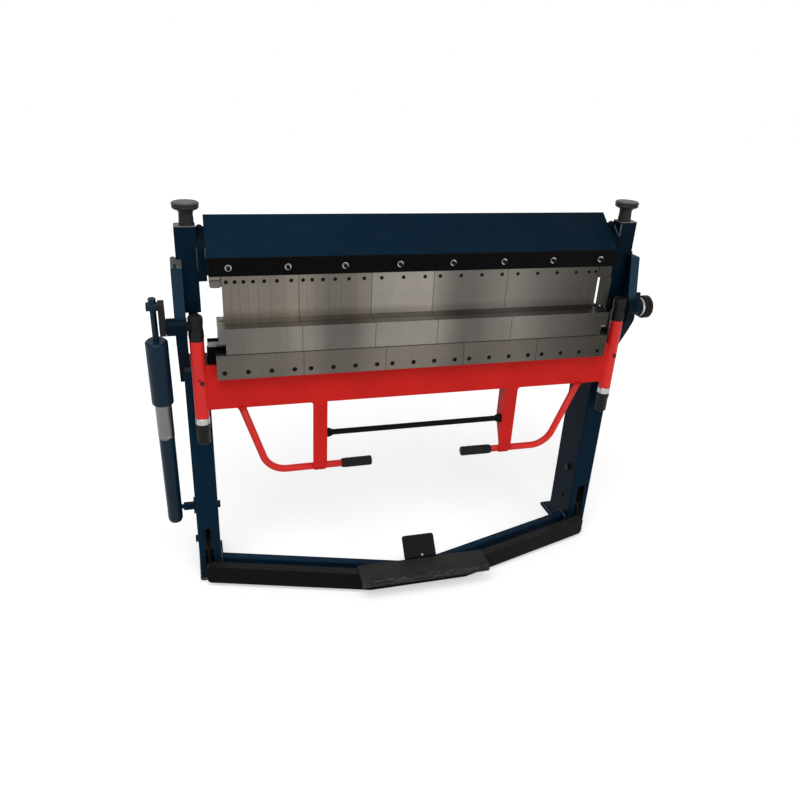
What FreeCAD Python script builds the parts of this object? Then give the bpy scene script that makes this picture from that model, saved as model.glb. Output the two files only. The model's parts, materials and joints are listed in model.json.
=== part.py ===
import FreeCAD, Part

import math
import os

import Sketcher
from FreeCAD import Placement, Rotation, Vector

# Box and pan brake: a segmented folding machine on two columns. A pedal pulls the
# clamping beam down on the sheet, and the red leaf in front swings up to make the bend.
# X runs along the fold line to the right, Y goes back, Z goes up, in millimetres.
# The origin is on the floor, straight under the middle of the fold line.

DOCUMENT = FreeCAD.newDocument("box_and_pan_brake")
SHEET = DOCUMENT.addObject("Spreadsheet::Sheet", "sizes")

# Driving dimensions: name, millimetres and meaning.
DRIVING = (
    ("fold_height", 960.0, "floor to the fold line"),
    ("running_gap", 0.4, "gap between faces that slide or swing past each other"),
    ("shaft_gap", 0.05, "radial clearance of a shaft in its bore"),
    ("column_past", 18.5, "inner side of a column past the clamp strip"),
    ("column_width", 73.0, "column tube along X"),
    ("column_front", 39.0, "fold line to the front face of a column"),
    ("column_depth", 149.0, "column tube along Y"),
    ("column_top", 800.0, "floor to the top of a column"),
    ("column_wall", 5.0, "wall of the column tube"),
    ("slot_width", 28.0, "slot in the column for the pedal arm"),
    ("slot_bottom", 60.0, "floor to the lower end of the slot"),
    ("slot_top", 216.0, "floor to the upper end of the slot"),
    ("slot_round", 5.0, "corner radius of the slot"),
    ("foot_thick", 8.0, "foot plate under a column"),
    ("foot_front", 39.0, "fold line to the front edge of a foot plate"),
    ("foot_back", 252.0, "fold line to the rear edge of a foot plate"),
    ("foot_overhang", 8.0, "foot plate past the inner side of the column"),
    ("foot_rib_tall", 42.0, "height of the rib behind the column"),
    ("foot_rib_thick", 8.0, "thickness of the rib behind the column"),
    ("anchor_bore", 13.0, "hole for a floor anchor"),
    ("anchor_inset", 22.0, "centre of an anchor hole from the rear edge of the foot"),
    ("anchor_pitch", 40.0, "anchor holes of a foot, along X"),
    ("cheek_past", 45.0, "inner side of a cheek past the inner side of the guide box"),
    ("cheek_wide", 31.5, "cheek along X"),
    ("cheek_peak", 22.0, "peak of the left cheek over its shoulder"),
    ("cheek_shoulder", 1130.0, "floor to the cheek's front shoulder and the right one's top"),
    ("cheek_nose", 20.0, "fold line to the cheek's front edge at its shoulder"),
    ("cheek_belly", -16.0, "fold line to the cheek's front edge below the pivot"),
    ("cheek_toe", 816.0, "floor to the lower end of a cheek's front edge"),
    ("cheek_foot", 752.0, "floor to the lower edge of a cheek"),
    ("flange_back", 46.5, "fold line to the rear of the cheek's front flange"),
    ("boss_radius", 26.0, "bearing boss round the swing pivot"),
    ("boss_reach", 2.0, "boss past the inner side of the cheek"),
    ("boss_outside", 24.0, "left boss past the outer side of the cheek"),
    ("pin_radius", 14.0, "swing pivot pin"),
    ("bush_wall", 4.0, "wall of the bearing bush"),
    ("floor_beam_top", 71.0, "floor to the top of the V beam"),
    ("floor_beam_bottom", 8.0, "floor to the underside of the V beam"),
    ("floor_beam_wide", 31.0, "V beam along Y"),
    ("floor_beam_end", 97.0, "fold line to the rear of the V beam at the column"),
    ("floor_beam_apex", -80.0, "fold line to the rear of the V beam in the middle"),
    ("floor_beam_flat", 68.0, "middle to the end of the V beam's straight part"),
    ("bed_front", 12.0, "fold line to the front of the bed beam"),
    ("bed_back", 152.0, "fold line to the rear of the bed beam"),
    ("bed_bottom", 700.0, "floor to the underside of the bed beam"),
    ("bed_top", 888.0, "floor to the top of the bed beam"),
    ("bed_crest", 24.0, "fold line to the rear of the bed beam's level top"),
    ("bed_top_drop", 55.0, "fall of the bed beam's top towards the rear"),
    ("bed_wall", 10.0, "plate of the bed beam"),
    ("bed_rail_short", 15.0, "gap between the bed rail and a column"),
    ("bed_rail_tall", 16.0, "height of the bed rail"),
    ("bed_strip_tall", 10.0, "height of the strip on the bed rail"),
    ("bed_rail_front", 12.0, "fold line to the front of the bed rail"),
    ("bed_rail_back", 84.0, "fold line to the rear of the bed rail"),
    ("bed_lug_back", 18.0, "fold line to the rear of the bed rail's end lugs"),
    ("bed_blade_front", 0.6, "fold line to the front of the bed blade"),
    ("bed_blade_lip", 24.0, "height of the bed blade's front face"),
    ("bed_blade_back", 84.0, "fold line to the rear of the bed blade"),
    ("bolt_radius", 8.0, "frame bolts and pedal axles"),
    ("bolt_head_radius", 12.5, "hexagon head of a frame bolt, over corners"),
    ("bolt_head_tall", 9.0, "height of a frame bolt head"),
    ("axle_head_tall", 3.0, "flat head of a pedal axle inside the columns"),
    ("bolt_height", 276.0, "floor to the upper frame bolt"),
    ("axle_height", 142.0, "floor to the pedal axle"),
    ("axle_back", 96.0, "fold line to the pedal axle"),
    ("gusset_wide", 23.0, "gusset between guide box and upper beam, along X"),
    ("box_wide", 60.0, "guide box along X"),
    ("box_front", 48.0, "fold line to the front of a guide box"),
    ("box_back", 96.0, "fold line to the rear of a guide box"),
    ("box_bottom", 985.0, "floor to the underside of a guide box"),
    ("box_top", 1239.0, "floor to the top of a guide box"),
    ("rod_inset", 23.5, "inner side of the guide box to the axis of its pull rod"),
    ("rod_back", 72.0, "fold line to the axis of a pull rod"),
    ("rod_radius", 8.0, "pull rod"),
    ("neck_radius", 13.8, "collar of the pull rod under the guide box"),
    ("neck_tall", 50.0, "length of the collar"),
    ("gib_tall", 155.0, "length of the wear strip between guide box and cheek"),
    ("knob_radius", 38.5, "height knob"),
    ("knob_tall", 21.5, "rim of the height knob"),
    ("knob_bottom", 1281.0, "floor to the underside of the knob's rim"),
    ("shank_radius", 20.5, "shank of the height knob"),
    ("beam_past", 4.0, "upper beam past the end of the clamp strip"),
    ("beam_lip", 6.0, "fold line to the front lip of the upper beam"),
    ("beam_lip_height", 1158.0, "floor to the front lip of the upper beam"),
    ("beam_ridge", 129.5, "fold line to the ridge of the upper beam"),
    ("beam_top", 1254.0, "floor to the ridge of the upper beam"),
    ("beam_back", 136.0, "fold line to the rear of the upper beam"),
    ("beam_front", 18.0, "fold line to the front plate of the upper beam"),
    ("beam_bottom", 1104.0, "floor to the underside of the upper beam"),
    ("beam_wall", 8.0, "plate of the upper beam"),
    ("gusset_bottom", 1084.0, "floor to the lower edge of the gusset at the guide box"),
    ("gusset_front", 30.0, "fold line to the front of the gusset"),
    ("strip_past", 35.0, "clamp strip past the end of the finger row"),
    ("strip_front", 4.0, "fold line to the front of the clamp strip"),
    ("strip_screw_end", 55.0, "end of the clamp strip to its first screw"),
    ("strip_screw_height", 1129.0, "floor to the clamp strip's screws"),
    ("washer_radius", 9.5, "washer under a cap screw"),
    ("washer_thick", 1.6, "thickness of a washer"),
    ("cap_radius", 6.5, "head of a cap screw"),
    ("cap_tall", 8.0, "height of a cap screw's head"),
    ("rail_bottom", 1062.0, "floor to the underside of the finger rails"),
    ("rail_split", 1084.0, "floor to the joint between the two finger rails"),
    ("rail_back", 80.0, "fold line to the rear of the finger rails"),
    ("lug_front", 32.0, "fold line to the front of the rails' end lugs"),
    ("lug_wide", 30.0, "end lug of the finger rails along X"),
    ("finger_nose", 1.0, "fold line to the edge of a finger's nose"),
    ("finger_front", 30.5, "fold line to the front face of a finger"),
    ("finger_thick", 12.0, "plate of a finger"),
    ("finger_shoulder", 14.6, "height of the finger's bevelled nose"),
    ("horn_slope", 24.0, "height of an outer finger's horn at its root"),
    ("horn_low", 13.0, "height of an outer finger's horn at its tip"),
    ("finger_gap", 0.2, "gap between neighbouring fingers"),
    ("finger_25", 25.0, "narrow finger along X"),
    ("finger_30", 30.0, "finger of the second kind along X"),
    ("finger_35", 35.0, "finger of the third kind along X"),
    ("finger_40", 40.0, "finger of the fourth kind along X"),
    ("finger_45", 45.0, "finger of the fifth kind along X"),
    ("finger_50", 50.0, "finger of the sixth kind along X"),
    ("finger_200", 200.0, "shortest wide finger along X"),
    ("finger_250", 250.0, "middle wide finger along X"),
    ("finger_280", 280.0, "longest wide finger along X"),
    ("finger_screw_pitch", 70.0, "spacing of the screws in a wide finger"),
    ("finger_screw_height", 1079.5, "floor to the finger screws"),
    ("finger_screw_radius", 6.0, "head of a finger screw"),
    ("finger_screw_sink", 2.0, "how deep a finger screw's head lies in its bore"),
    ("horn", 20.0, "how far the outer fingers and blades reach past the row"),
    ("blade_horn_tall", 46.0, "height of the outer blade's horn"),
    ("odd_blade", 40.0, "the bending blade that ends between two seams of the finger row"),
    ("blade_front", -40.0, "fold line to the front of blades and clamp bars"),
    ("blade_bottom", 880.0, "floor to the lower edge of a blade's face"),
    ("blade_head", 25.0, "height of the blade's head"),
    ("tongue_front", -20.0, "fold line to the front of the blade's tongue"),
    ("tongue_back", -10.0, "fold line to the rear of the blade's tongue"),
    ("tongue_bottom", 830.0, "floor to the lower edge of the tongue"),
    ("bar_past", 30.0, "clamp bars past the end of the finger row"),
    ("bar_bottom", 801.0, "floor to the lower edge of the clamp bars"),
    ("bar_hole_height", 822.0, "floor to the clamp bars' screws"),
    ("bar_hole_radius", 7.5, "counterbore in a clamp bar"),
    ("bar_hole_depth", 9.0, "depth of the counterbore"),
    ("bar_hole_last", 28.2, "last screw of a bar to its other end"),
    ("bar_hole_first", 21.6, "end of a bar to its first screw"),
    ("apron_thick", 12.0, "plate of the apron"),
    ("apron_bottom", 690.0, "floor to the lower edge of the apron"),
    ("apron_notch", 835.0, "floor to the apron's top edge beside the arm tubes"),
    ("tube_inset", 28.0, "inner side of a column to the axis of an arm tube"),
    ("tube_radius", 21.2, "arm tube"),
    ("tube_bottom", 664.0, "floor to the lower end of an arm tube"),
    ("tube_top", 916.0, "floor to the upper end of an arm tube"),
    ("set_screw_height", 795.0, "floor to the set screw hole of an arm tube"),
    ("sleeve_top", 994.0, "floor to the top of a sleeve"),
    ("sleeve_radius", 22.6, "black sleeve on top of an arm"),
    ("sleeve_waist", 20.6, "waist of the sleeve at the pivot"),
    ("spindle_radius", 13.0, "spindle inside an arm tube"),
    ("ring_tall", 22.0, "lock ring under an arm tube"),
    ("ring_radius", 22.0, "lock ring"),
    ("nut_tall", 70.0, "knurled adjusting nut"),
    ("nut_radius", 20.3, "knurled adjusting nut"),
    ("nut_collar", 22.0, "collar on top of the adjusting nut"),
    ("leaf_travel", 10.0, "height adjustment of the leaf"),
    ("upright_inner", 308.0, "middle to the inner side of a handle upright"),
    ("upright_outer", 354.0, "middle to the outer side of a handle upright"),
    ("upright_bottom", 452.0, "floor to the lower end of a handle upright"),
    ("upright_wall", 5.0, "plate of an upright"),
    ("upright_deep", 50.0, "depth of an upright's folded flange"),
    ("upright_taper", 560.0, "floor to the point where the flange starts to taper"),
    ("upright_corner", 10.0, "inside corner between apron and upright"),
    ("pipe_radius", 11.8, "handle pipe"),
    ("pipe_start", 572.0, "middle to the handle pipe at the apron"),
    ("pipe_bend", 487.0, "middle to the bend of the handle pipe"),
    ("pipe_low", 463.5, "floor to the handle pipe's level run"),
    ("pipe_turn", 50.0, "radius of the handle pipe's bends"),
    ("pipe_lean", 294.0, "middle to the point where the pipe leans forward"),
    ("grip_start", 265.0, "middle to the outer end of a grip"),
    ("grip_end", 161.0, "middle to the inner end of a grip"),
    ("left_grip_forward", -28.0, "fold line to the left grip's inner end"),
    ("left_grip_height", 455.0, "floor to the left grip's inner end"),
    ("right_grip_forward", -4.0, "fold line to the right grip's inner end"),
    ("right_grip_height", 460.0, "floor to the right grip's inner end"),
    ("grip_radius", 16.5, "hand grip"),
    ("rod_height", 569.0, "floor to the cross rod between the uprights"),
    ("rod_line", 6.0, "fold line to the axis of the cross rod"),
    ("cross_radius", 7.5, "cross rod"),
    ("cross_flare", 12.0, "flared end of the cross rod"),
    ("crank_radius", 64.0, "swing pivot to the balancer's pin"),
    ("crank_gap", 25.5, "outer side of the left cheek to the crank arm"),
    ("crank_thick", 17.0, "crank arm along X"),
    ("balancer_past", 31.0, "inner side of the crank arm to the axis of the balancer"),
    ("balancer_foot", 280.0, "floor to the lower pivot of the balancer"),
    ("balancer_radius", 24.0, "lower tube of the balancer"),
    ("balancer_tip", -58.0, "foot pivot to the tip of the lower tube, along the balancer"),
    ("balancer_step", 311.6, "foot pivot to the end of the lower tube"),
    ("balancer_cover", 428.5, "foot pivot to the start of the upper tube"),
    ("balancer_bare_end", 515.0, "foot pivot to the hidden end of the bare sleeve"),
    ("balancer_head_top", 641.3, "foot pivot to the end of the upper tube"),
    ("balancer_head_radius", 32.5, "upper tube of the balancer"),
    ("bare_radius", 25.0, "bare sleeve of the balancer"),
    ("balancer_eye", 13.0, "swivel barrel round the balancer's pin"),
    ("balancer_nut", 11.0, "hexagon nut on the balancer's stem, over corners"),
    ("pedal_thick", 31.0, "pedal bar along Y"),
    ("pedal_bottom", 15.0, "floor to the underside of the pedal bar"),
    ("pedal_top", 83.0, "floor to the top of the pedal bar"),
    ("pedal_past", 52.0, "pedal bar past the inner side of a column"),
    ("pedal_end_back", 37.5, "fold line to the rear of the pedal bar at its end"),
    ("pedal_mid_back", -119.0, "fold line to the rear of the pedal bar in the middle"),
    ("pedal_flat", 175.0, "middle to the end of the pedal bar's straight part"),
    ("arm_inset", 39.5, "inner side of a column to the middle of a pedal arm"),
    ("arm_thick", 10.0, "pedal arm along X"),
    ("drive_reach", 42.0, "drive pin in front of the axle with the beam closed"),
    ("drive_drop", 23.5, "drive pin below the axle with the beam closed"),
    ("drive_pin_radius", 7.0, "drive pin of the pedal"),
    ("treadle_left", -216.5, "middle to the treadle's left end"),
    ("treadle_right", 243.5, "middle to the treadle's right end"),
    ("treadle_front", -194.0, "fold line to the treadle's front edge"),
    ("treadle_back", -101.0, "fold line to the treadle's rear edge"),
    ("treadle_thick", 5.0, "plate of the treadle"),
    ("skirt_bottom", 66.0, "floor to the lower edge of the treadle's skirt"),
    ("toe_left", -43.0, "middle to the toe plate's left edge"),
    ("toe_right", 74.0, "middle to the toe plate's right edge"),
    ("toe_lean", 56.0, "how far the toe plate leans back"),
    ("toe_rise", 61.0, "height of the toe plate over the treadle"),
    ("toe_thick", 5.0, "toe plate"),
    ("stop_long", 16.5, "stop housing along X"),
    ("stop_ring_wide", 8.6, "scale ring of the angle stop"),
    ("stop_ring_radius", 32.0, "scale ring of the angle stop"),
    ("stop_knob_radius", 38.5, "clamping knob of the angle stop"),
    ("stop_knob_wide", 27.0, "clamping knob of the angle stop along X"),
)

# Kinds of finger along the fold line, from left to right, named by their width when new.
FINGER_ROW = ("25", "25", "25", "30", "35", "40", "45", "25", "30", "35", "40", "45", "50",
              "200", "250", "280", "25", "25")
SCREWS_OF_WIDE_FINGERS = {"200": 3, "250": 4, "280": 4}

BAR_COUNT = 5
BAR_SCREWS = 4
STRIP_SCREWS = 8


class Size:
    """A length that knows its number and its formula in the words of the sheet."""

    def __init__(self, text, value):
        self.text = text
        self.value = float(value)

    def __add__(self, other):
        other = as_size(other)
        return Size(f"({self.text} + {other.text})", self.value + other.value)

    def __radd__(self, other):
        return as_size(other) + self

    def __sub__(self, other):
        other = as_size(other)
        return Size(f"({self.text} - {other.text})", self.value - other.value)

    def __rsub__(self, other):
        return as_size(other) - self

    def __mul__(self, other):
        other = as_size(other)
        return Size(f"({self.text} * {other.text})", self.value * other.value)

    def __rmul__(self, other):
        return self * other

    def __truediv__(self, other):
        other = as_size(other)
        return Size(f"({self.text} / {other.text})", self.value / other.value)

    def __neg__(self):
        return Size(f"(0 - {self.text})", -self.value)

    def root(self):
        return Size(f"sqrt({self.text})", math.sqrt(self.value))

    def angle_over(self, other):
        """Angle in degrees whose tangent is this length over the other one."""
        return Size(f"atan({self.text} / {other.text})",
                    math.degrees(math.atan2(self.value, other.value)))


def as_size(number):
    if isinstance(number, Size):
        return number
    return Size(f"({float(number)!r})", number)


class Words:
    """The driving dimensions by name."""


k = Words()
ROW = 0


def put_in_sheet(name, value, meaning):
    """Write one driving dimension into the sheet and return it as a Size."""
    global ROW
    ROW += 1
    SHEET.set(f"A{ROW}", meaning)
    SHEET.set(f"B{ROW}", repr(value))
    SHEET.setAlias(f"B{ROW}", name)
    return Size(f"sizes.{name}", value)


for word, number, meaning in DRIVING:
    setattr(k, word, put_in_sheet(word, number, meaning))


def follow(name, size, meaning):
    """Write a length that follows others into the sheet, and keep it with the named ones."""
    global ROW
    ROW += 1
    SHEET.set(f"A{ROW}", meaning)
    SHEET.set(f"B{ROW}", "=" + size.text.replace("sizes.", ""))
    SHEET.setAlias(f"B{ROW}", name)
    setattr(k, name, Size(f"sizes.{name}", size.value))


def total_length(widths):
    return sum(widths[1:], widths[0])


FINGERS = [getattr(k, f"finger_{kind}") for kind in FINGER_ROW]
BLADES = [total_length(FINGERS[0:2]), total_length(FINGERS[2:6]), FINGERS[6], k.odd_blade,
          total_length(FINGERS[7:13]) - k.odd_blade, FINGERS[13], FINGERS[14], FINGERS[15],
          total_length(FINGERS[16:18])]

# The finger row sets the places of everything beside it, from the middle outwards.
follow("row_half", total_length(FINGERS) / 2, "middle of the machine to the end of the row")
follow("strip_half", k.row_half + k.strip_past, "middle to the end of the clamp strip")
follow("beam_half", k.strip_half + k.beam_past, "middle to the end of the upper beam")
follow("box_inner", k.beam_half + k.gusset_wide, "middle to the inner side of a guide box")
follow("box_outer", k.box_inner + k.box_wide, "middle to the outer side of a guide box")
follow("rod_side", k.box_inner + k.rod_inset, "middle to the axis of a pull rod")
follow("column_inner", k.strip_half + k.column_past, "middle to the inner side of a column")
follow("bed_rail_half", k.column_inner - k.bed_rail_short, "middle to the end of the bed rail")
follow("tube_side", k.column_inner + k.tube_inset, "middle to the axis of an arm tube")
follow("arm_side", k.column_inner + k.arm_inset, "middle to the middle of a pedal arm")
follow("pedal_half", k.column_inner + k.pedal_past, "middle to the end of the pedal bar")
follow("cheek_inner", k.box_inner + k.cheek_past, "middle to the inner side of a cheek")
follow("cheek_outer", k.cheek_inner + k.cheek_wide, "middle to the outer side of a cheek")
follow("crank_inner", k.cheek_outer + k.crank_gap, "middle to the inner side of the crank arm")
follow("balancer_side", k.crank_inner + k.balancer_past, "middle to the balancer's axis")
follow("stop_reach", k.cheek_outer + k.stop_long, "middle to the end of the stop housing")
follow("strip_screw_pitch", (k.strip_half - k.strip_screw_end) * 2 / (STRIP_SCREWS - 1),
       "spacing of the clamp strip's screws")
follow("bar_length", (k.row_half + k.bar_past) * 2 / BAR_COUNT, "spacing of the clamp bars")
follow("bar_hole_pitch", (k.bar_length - k.bar_hole_first - k.bar_hole_last) / (BAR_SCREWS - 1),
       "spacing of the screws in one bar")
DOCUMENT.recompute()

SUB_PARTS = []


def new_body(label, is_sub_part=True):
    made = DOCUMENT.addObject("PartDesign::Body", label)
    made.Label = label
    if is_sub_part:
        SUB_PARTS.append(made)
    return made


def origin_plane(made, role):
    return next(item for item in made.Origin.OriginFeatures if item.Role == role)


def new_sketch(made, role, offset, name):
    """An empty sketch on one of the body's origin planes, moved along its normal."""
    drawing = made.newObject("Sketcher::SketchObject", name)
    drawing.AttachmentSupport = [(origin_plane(made, role), "")]
    drawing.MapMode = "FlatFace"
    offset = as_size(offset)
    drawing.AttachmentOffset = Placement(Vector(0, 0, offset.value), Rotation())
    drawing.setExpression("AttachmentOffset.Base.z", offset.text)
    return drawing


def tie(drawing, kind, geometry, point, size):
    """Hold one coordinate of a sketch point to a formula."""
    constraint = Sketcher.Constraint(kind, -1, 1, geometry, point, size.value)
    index = drawing.addConstraint(constraint)
    drawing.setExpression(f"Constraints[{index}]", size.text)


def draw_outline(drawing, points):
    """A closed outline of straight lines, every corner tied to the sheet."""
    corners = [(as_size(a), as_size(b)) for a, b in points]
    first = drawing.GeometryCount
    count = len(corners)
    lines = []
    for here, there in zip(corners, corners[1:] + corners[:1]):
        start = Vector(here[0].value, here[1].value, 0)
        end = Vector(there[0].value, there[1].value, 0)
        lines.append(Part.LineSegment(start, end))
    drawing.addGeometry(lines, False)
    joints = []
    for n in range(count):
        joints.append(Sketcher.Constraint("Coincident", first + n, 2, first + (n + 1) % count, 1))
    drawing.addConstraint(joints)
    for n, corner in enumerate(corners):
        tie(drawing, "DistanceX", first + n, 1, corner[0])
        tie(drawing, "DistanceY", first + n, 1, corner[1])


def draw_circle(drawing, across, up, radius):
    across, up, radius = as_size(across), as_size(up), as_size(radius)
    circle = Part.Circle(Vector(across.value, up.value, 0), Vector(0, 0, 1), radius.value)
    geometry = drawing.addGeometry(circle, False)
    tie(drawing, "DistanceX", geometry, 3, across)
    tie(drawing, "DistanceY", geometry, 3, up)
    index = drawing.addConstraint(Sketcher.Constraint("Radius", geometry, radius.value))
    drawing.setExpression(f"Constraints[{index}]", radius.text)


def draw(drawing, shapes):
    """Each shape is a list of corners, or a tuple (across, up, radius) for a circle."""
    for shape in shapes:
        if isinstance(shape, tuple):
            draw_circle(drawing, *shape)
        else:
            draw_outline(drawing, shape)


def prism(made, name, role, shapes, start, stop, cut=False):
    """Pad or pocket of an outline between two planes square to the role's axis."""
    start, stop = sorted((as_size(start), as_size(stop)), key=lambda size: size.value)
    offset = -stop if role == "XZ_Plane" else start
    drawing = new_sketch(made, role, offset, f"{name}_outline")
    draw(drawing, shapes)
    feature = made.newObject("PartDesign::Pocket" if cut else "PartDesign::Pad", name)
    feature.Profile = drawing
    feature.Length = stop.value - start.value
    feature.setExpression("Length", (stop - start).text)
    feature.Reversed = cut
    drawing.Visibility = False
    made.Tip = feature
    return feature


def turned(made, name, corners, across=0.0, back=0.0, groove=False):
    """A turned piece: corners are (radius, height) about an upright axis."""
    drawing = new_sketch(made, "XZ_Plane", 0.0, f"{name}_outline")
    draw(drawing, [corners])
    feature = made.newObject("PartDesign::Groove" if groove else "PartDesign::Revolution", name)
    feature.Profile = drawing
    feature.ReferenceAxis = (drawing, ["V_Axis"])
    feature.Angle = 360.0
    made.Tip = feature
    across, back = as_size(across), as_size(back)
    made.Placement = Placement(Vector(across.value, back.value, 0), Rotation())
    made.setExpression("Placement.Base.x", across.text)
    made.setExpression("Placement.Base.y", back.text)
    return feature


def dress(made, name, kind, radius, chosen):
    """Fillet or chamfer on the edges of the tip that the test picks by their middle."""
    DOCUMENT.recompute()
    base = made.Tip
    names = []
    for n, edge in enumerate(base.Shape.Edges, 1):
        middle = edge.valueAt((edge.FirstParameter + edge.LastParameter) / 2)
        if chosen(edge, middle):
            names.append(f"Edge{n}")
    feature = made.newObject(f"PartDesign::{kind}", name)
    feature.Base = (base, names)
    radius = as_size(radius)
    word = "Radius" if kind == "Fillet" else "Size"
    setattr(feature, word, radius.value)
    feature.setExpression(word, radius.text)
    made.Tip = feature
    return feature


def along(edge, axis):
    """True for a straight edge that runs along one axis (0, 1 or 2)."""
    if edge.Curve.TypeId != "Part::GeomLine":
        return False
    return abs(abs(edge.tangentAt(edge.FirstParameter)[axis]) - 1) < 1e-6


def near(a, b, tolerance=0.01):
    return abs(a - b) < tolerance


def group(label, members):
    """One sub-part of several separate solids that share a name."""
    made = DOCUMENT.addObject("Part::Compound", label)
    made.Label = label
    made.Links = members
    SUB_PARTS.append(made)
    return made


def copies(label, master, places):
    """Like pieces of one master, each at its own place."""
    links = []
    for n, place in enumerate(places, 1):
        link = DOCUMENT.addObject("App::Link", f"{label}_{n}")
        link.LinkedObject = master
        sizes = [as_size(value) for value in place]
        link.Placement = Placement(Vector(*(size.value for size in sizes)), Rotation())
        for axis, size in zip("xyz", sizes):
            link.setExpression(f".Placement.Base.{axis}", size.text)
        links.append(link)
    return group(label, links)


def rectangle(left, bottom, right, top):
    return [(left, bottom), (right, bottom), (right, top), (left, top)]


SIDES = ((-1, "left"), (1, "right"))
column_outer = k.column_inner + k.column_width
column_back = k.column_front + k.column_depth
bush_radius = k.pin_radius + k.bush_wall
blade_top = k.fold_height
finger_base = k.fold_height + k.running_gap


# Frame

def make_column(side, name):
    """Box tube with a front slot for the pedal arm and a hole on top for the pull rod."""
    made = new_body(f"{name}_column")
    inner, outer = side * k.column_inner, side * column_outer
    wall = side * k.column_wall
    prism(made, "tube", "XY_Plane", [rectangle(inner, k.column_front, outer, column_back)],
          k.foot_thick, k.column_top)
    cavity = rectangle(inner + wall, k.column_front + k.column_wall,
                       outer - wall, column_back - k.column_wall)
    prism(made, "cavity", "XY_Plane", [cavity], k.foot_thick - 1.0,
          k.column_top - k.column_wall, cut=True)
    half = k.slot_width / 2
    slot = rectangle(side * k.arm_side - half, k.slot_bottom, side * k.arm_side + half, k.slot_top)
    prism(made, "slot", "XZ_Plane", [slot], k.column_front - 1.0,
          k.column_front + k.column_wall + 1.0, cut=True)
    rod_hole = (side * k.rod_side, k.rod_back, k.rod_radius + 2.0)
    prism(made, "rod_hole", "XY_Plane", [rod_hole], k.column_top - k.column_wall - 1.0,
          k.column_top + 1.0, cut=True)
    bores = [(k.axle_back, k.bolt_height, k.bolt_radius + k.shaft_gap),
             (k.axle_back, k.axle_height, k.bolt_radius + k.shaft_gap)]
    prism(made, "bolt_bores", "YZ_Plane", bores, inner - side * 1.0, outer + side * 1.0, cut=True)
    slot_ends = (k.slot_bottom.value, k.slot_top.value)
    slot_back = k.column_front.value + k.column_wall.value
    dress(made, "slot_corners", "Fillet", k.slot_round,
          lambda edge, middle: along(edge, 1) and middle.y < slot_back
          and any(near(middle.z, z) for z in slot_ends))
    sides = (k.column_inner.value, column_outer.value)
    dress(made, "tube_corners", "Fillet", k.column_wall - 1.0,
          lambda edge, middle: along(edge, 2) and middle.z > slot_ends[1]
          and any(near(abs(middle.x), x) for x in sides))
    return made


for side, name in SIDES:
    make_column(side, name)


def make_foot(side, name):
    """Foot plate with anchor holes behind the column and a rib at the inner side."""
    made = new_body(f"{name}_foot", is_sub_part=False)
    inner = side * (k.column_inner - k.foot_overhang)
    outer = side * column_outer
    middle = side * (k.column_inner + k.column_width / 2)
    holes = []
    for step in (-0.5, 0.5):
        holes.append((middle + step * k.anchor_pitch, k.foot_back - k.anchor_inset,
                      k.anchor_bore / 2))
    prism(made, "sole", "XY_Plane", [rectangle(inner, k.foot_front, outer, k.foot_back)] + holes,
          0.0, k.foot_thick)
    rib = [(column_back, k.foot_thick), (k.foot_back - 2.0, k.foot_thick),
           (column_back, k.foot_thick + k.foot_rib_tall)]
    start = side * k.column_inner
    prism(made, "rib", "YZ_Plane", [rib], start, start + side * k.foot_rib_thick)
    ends = (k.foot_front.value, k.foot_back.value)
    dress(made, "sole_corners", "Fillet", 6.0,
          lambda edge, middle: along(edge, 2) and middle.z < k.foot_thick.value
          and any(near(middle.y, y) for y in ends))
    return made


group("foot_plates", [make_foot(side, name) for side, name in SIDES])


def cheek_front():
    """Front edge of a cheek, from its toe past the pivot up to the shoulder."""
    pivot = k.fold_height
    return [(k.bed_front - 5.0, pivot - 87.0), (k.cheek_belly, pivot - 42.0),
            (k.cheek_belly + 2.0, pivot), (k.cheek_nose - 19.0, pivot + 63.0),
            (k.cheek_nose - 2.0, k.cheek_shoulder - 18.0), (k.cheek_nose, k.cheek_shoulder)]


def make_cheek(side, name):
    """Angle-shaped guide on the column: a side plate, a front flange and the pivot boss."""
    made = new_body(f"{name}_cheek")
    toe = (k.column_front + 1.0, k.cheek_toe)
    plate = [(column_back, k.cheek_foot), (k.column_front + 36.0, k.cheek_foot), toe]
    plate += cheek_front()
    if side < 0:
        plate += [(k.flange_back + 10.5, k.cheek_shoulder + k.cheek_peak)]
    plate += [(k.box_back + 14.0, k.cheek_shoulder), (column_back, k.fold_height + 40.0)]
    prism(made, "side_plate", "YZ_Plane", [plate], side * column_outer, side * k.cheek_outer)
    rise = k.cheek_peak - 6.0 if side < 0 else 0.0
    flange = [toe] + cheek_front()
    flange += [(k.flange_back, k.cheek_shoulder + rise), (k.flange_back, k.cheek_toe - 4.0)]
    prism(made, "front_flange", "YZ_Plane", [flange], side * k.cheek_inner, side * column_outer)
    top = k.cheek_shoulder.value - 1.0
    dress(made, "outer_top", "Fillet", 7.0,
          lambda edge, middle: near(abs(middle.x), k.cheek_outer.value) and middle.z > top
          and middle.y < k.box_back.value)
    outside = k.cheek_outer + k.boss_outside if side < 0 else k.cheek_outer
    boss = (0.0, k.fold_height, k.boss_radius)
    prism(made, "boss", "YZ_Plane", [boss], side * (k.cheek_inner - k.boss_reach), side * outside)
    bore = (0.0, k.fold_height, bush_radius)
    prism(made, "bore", "YZ_Plane", [bore], side * (k.cheek_inner - k.boss_reach - 1.0),
          side * (outside + 1.0), cut=True)
    return made


for side, name in SIDES:
    make_cheek(side, name)


def make_bush(side, name):
    made = new_body(f"{name}_bush", is_sub_part=False)
    outside = k.cheek_outer + k.boss_outside if side < 0 else k.cheek_outer
    ring = [(0.0, k.fold_height, bush_radius), (0.0, k.fold_height, k.pin_radius + k.shaft_gap)]
    prism(made, "ring", "YZ_Plane", ring, side * (k.cheek_inner - k.boss_reach), side * outside)
    return made


group("pivot_bushes", [make_bush(side, name) for side, name in SIDES])


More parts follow.
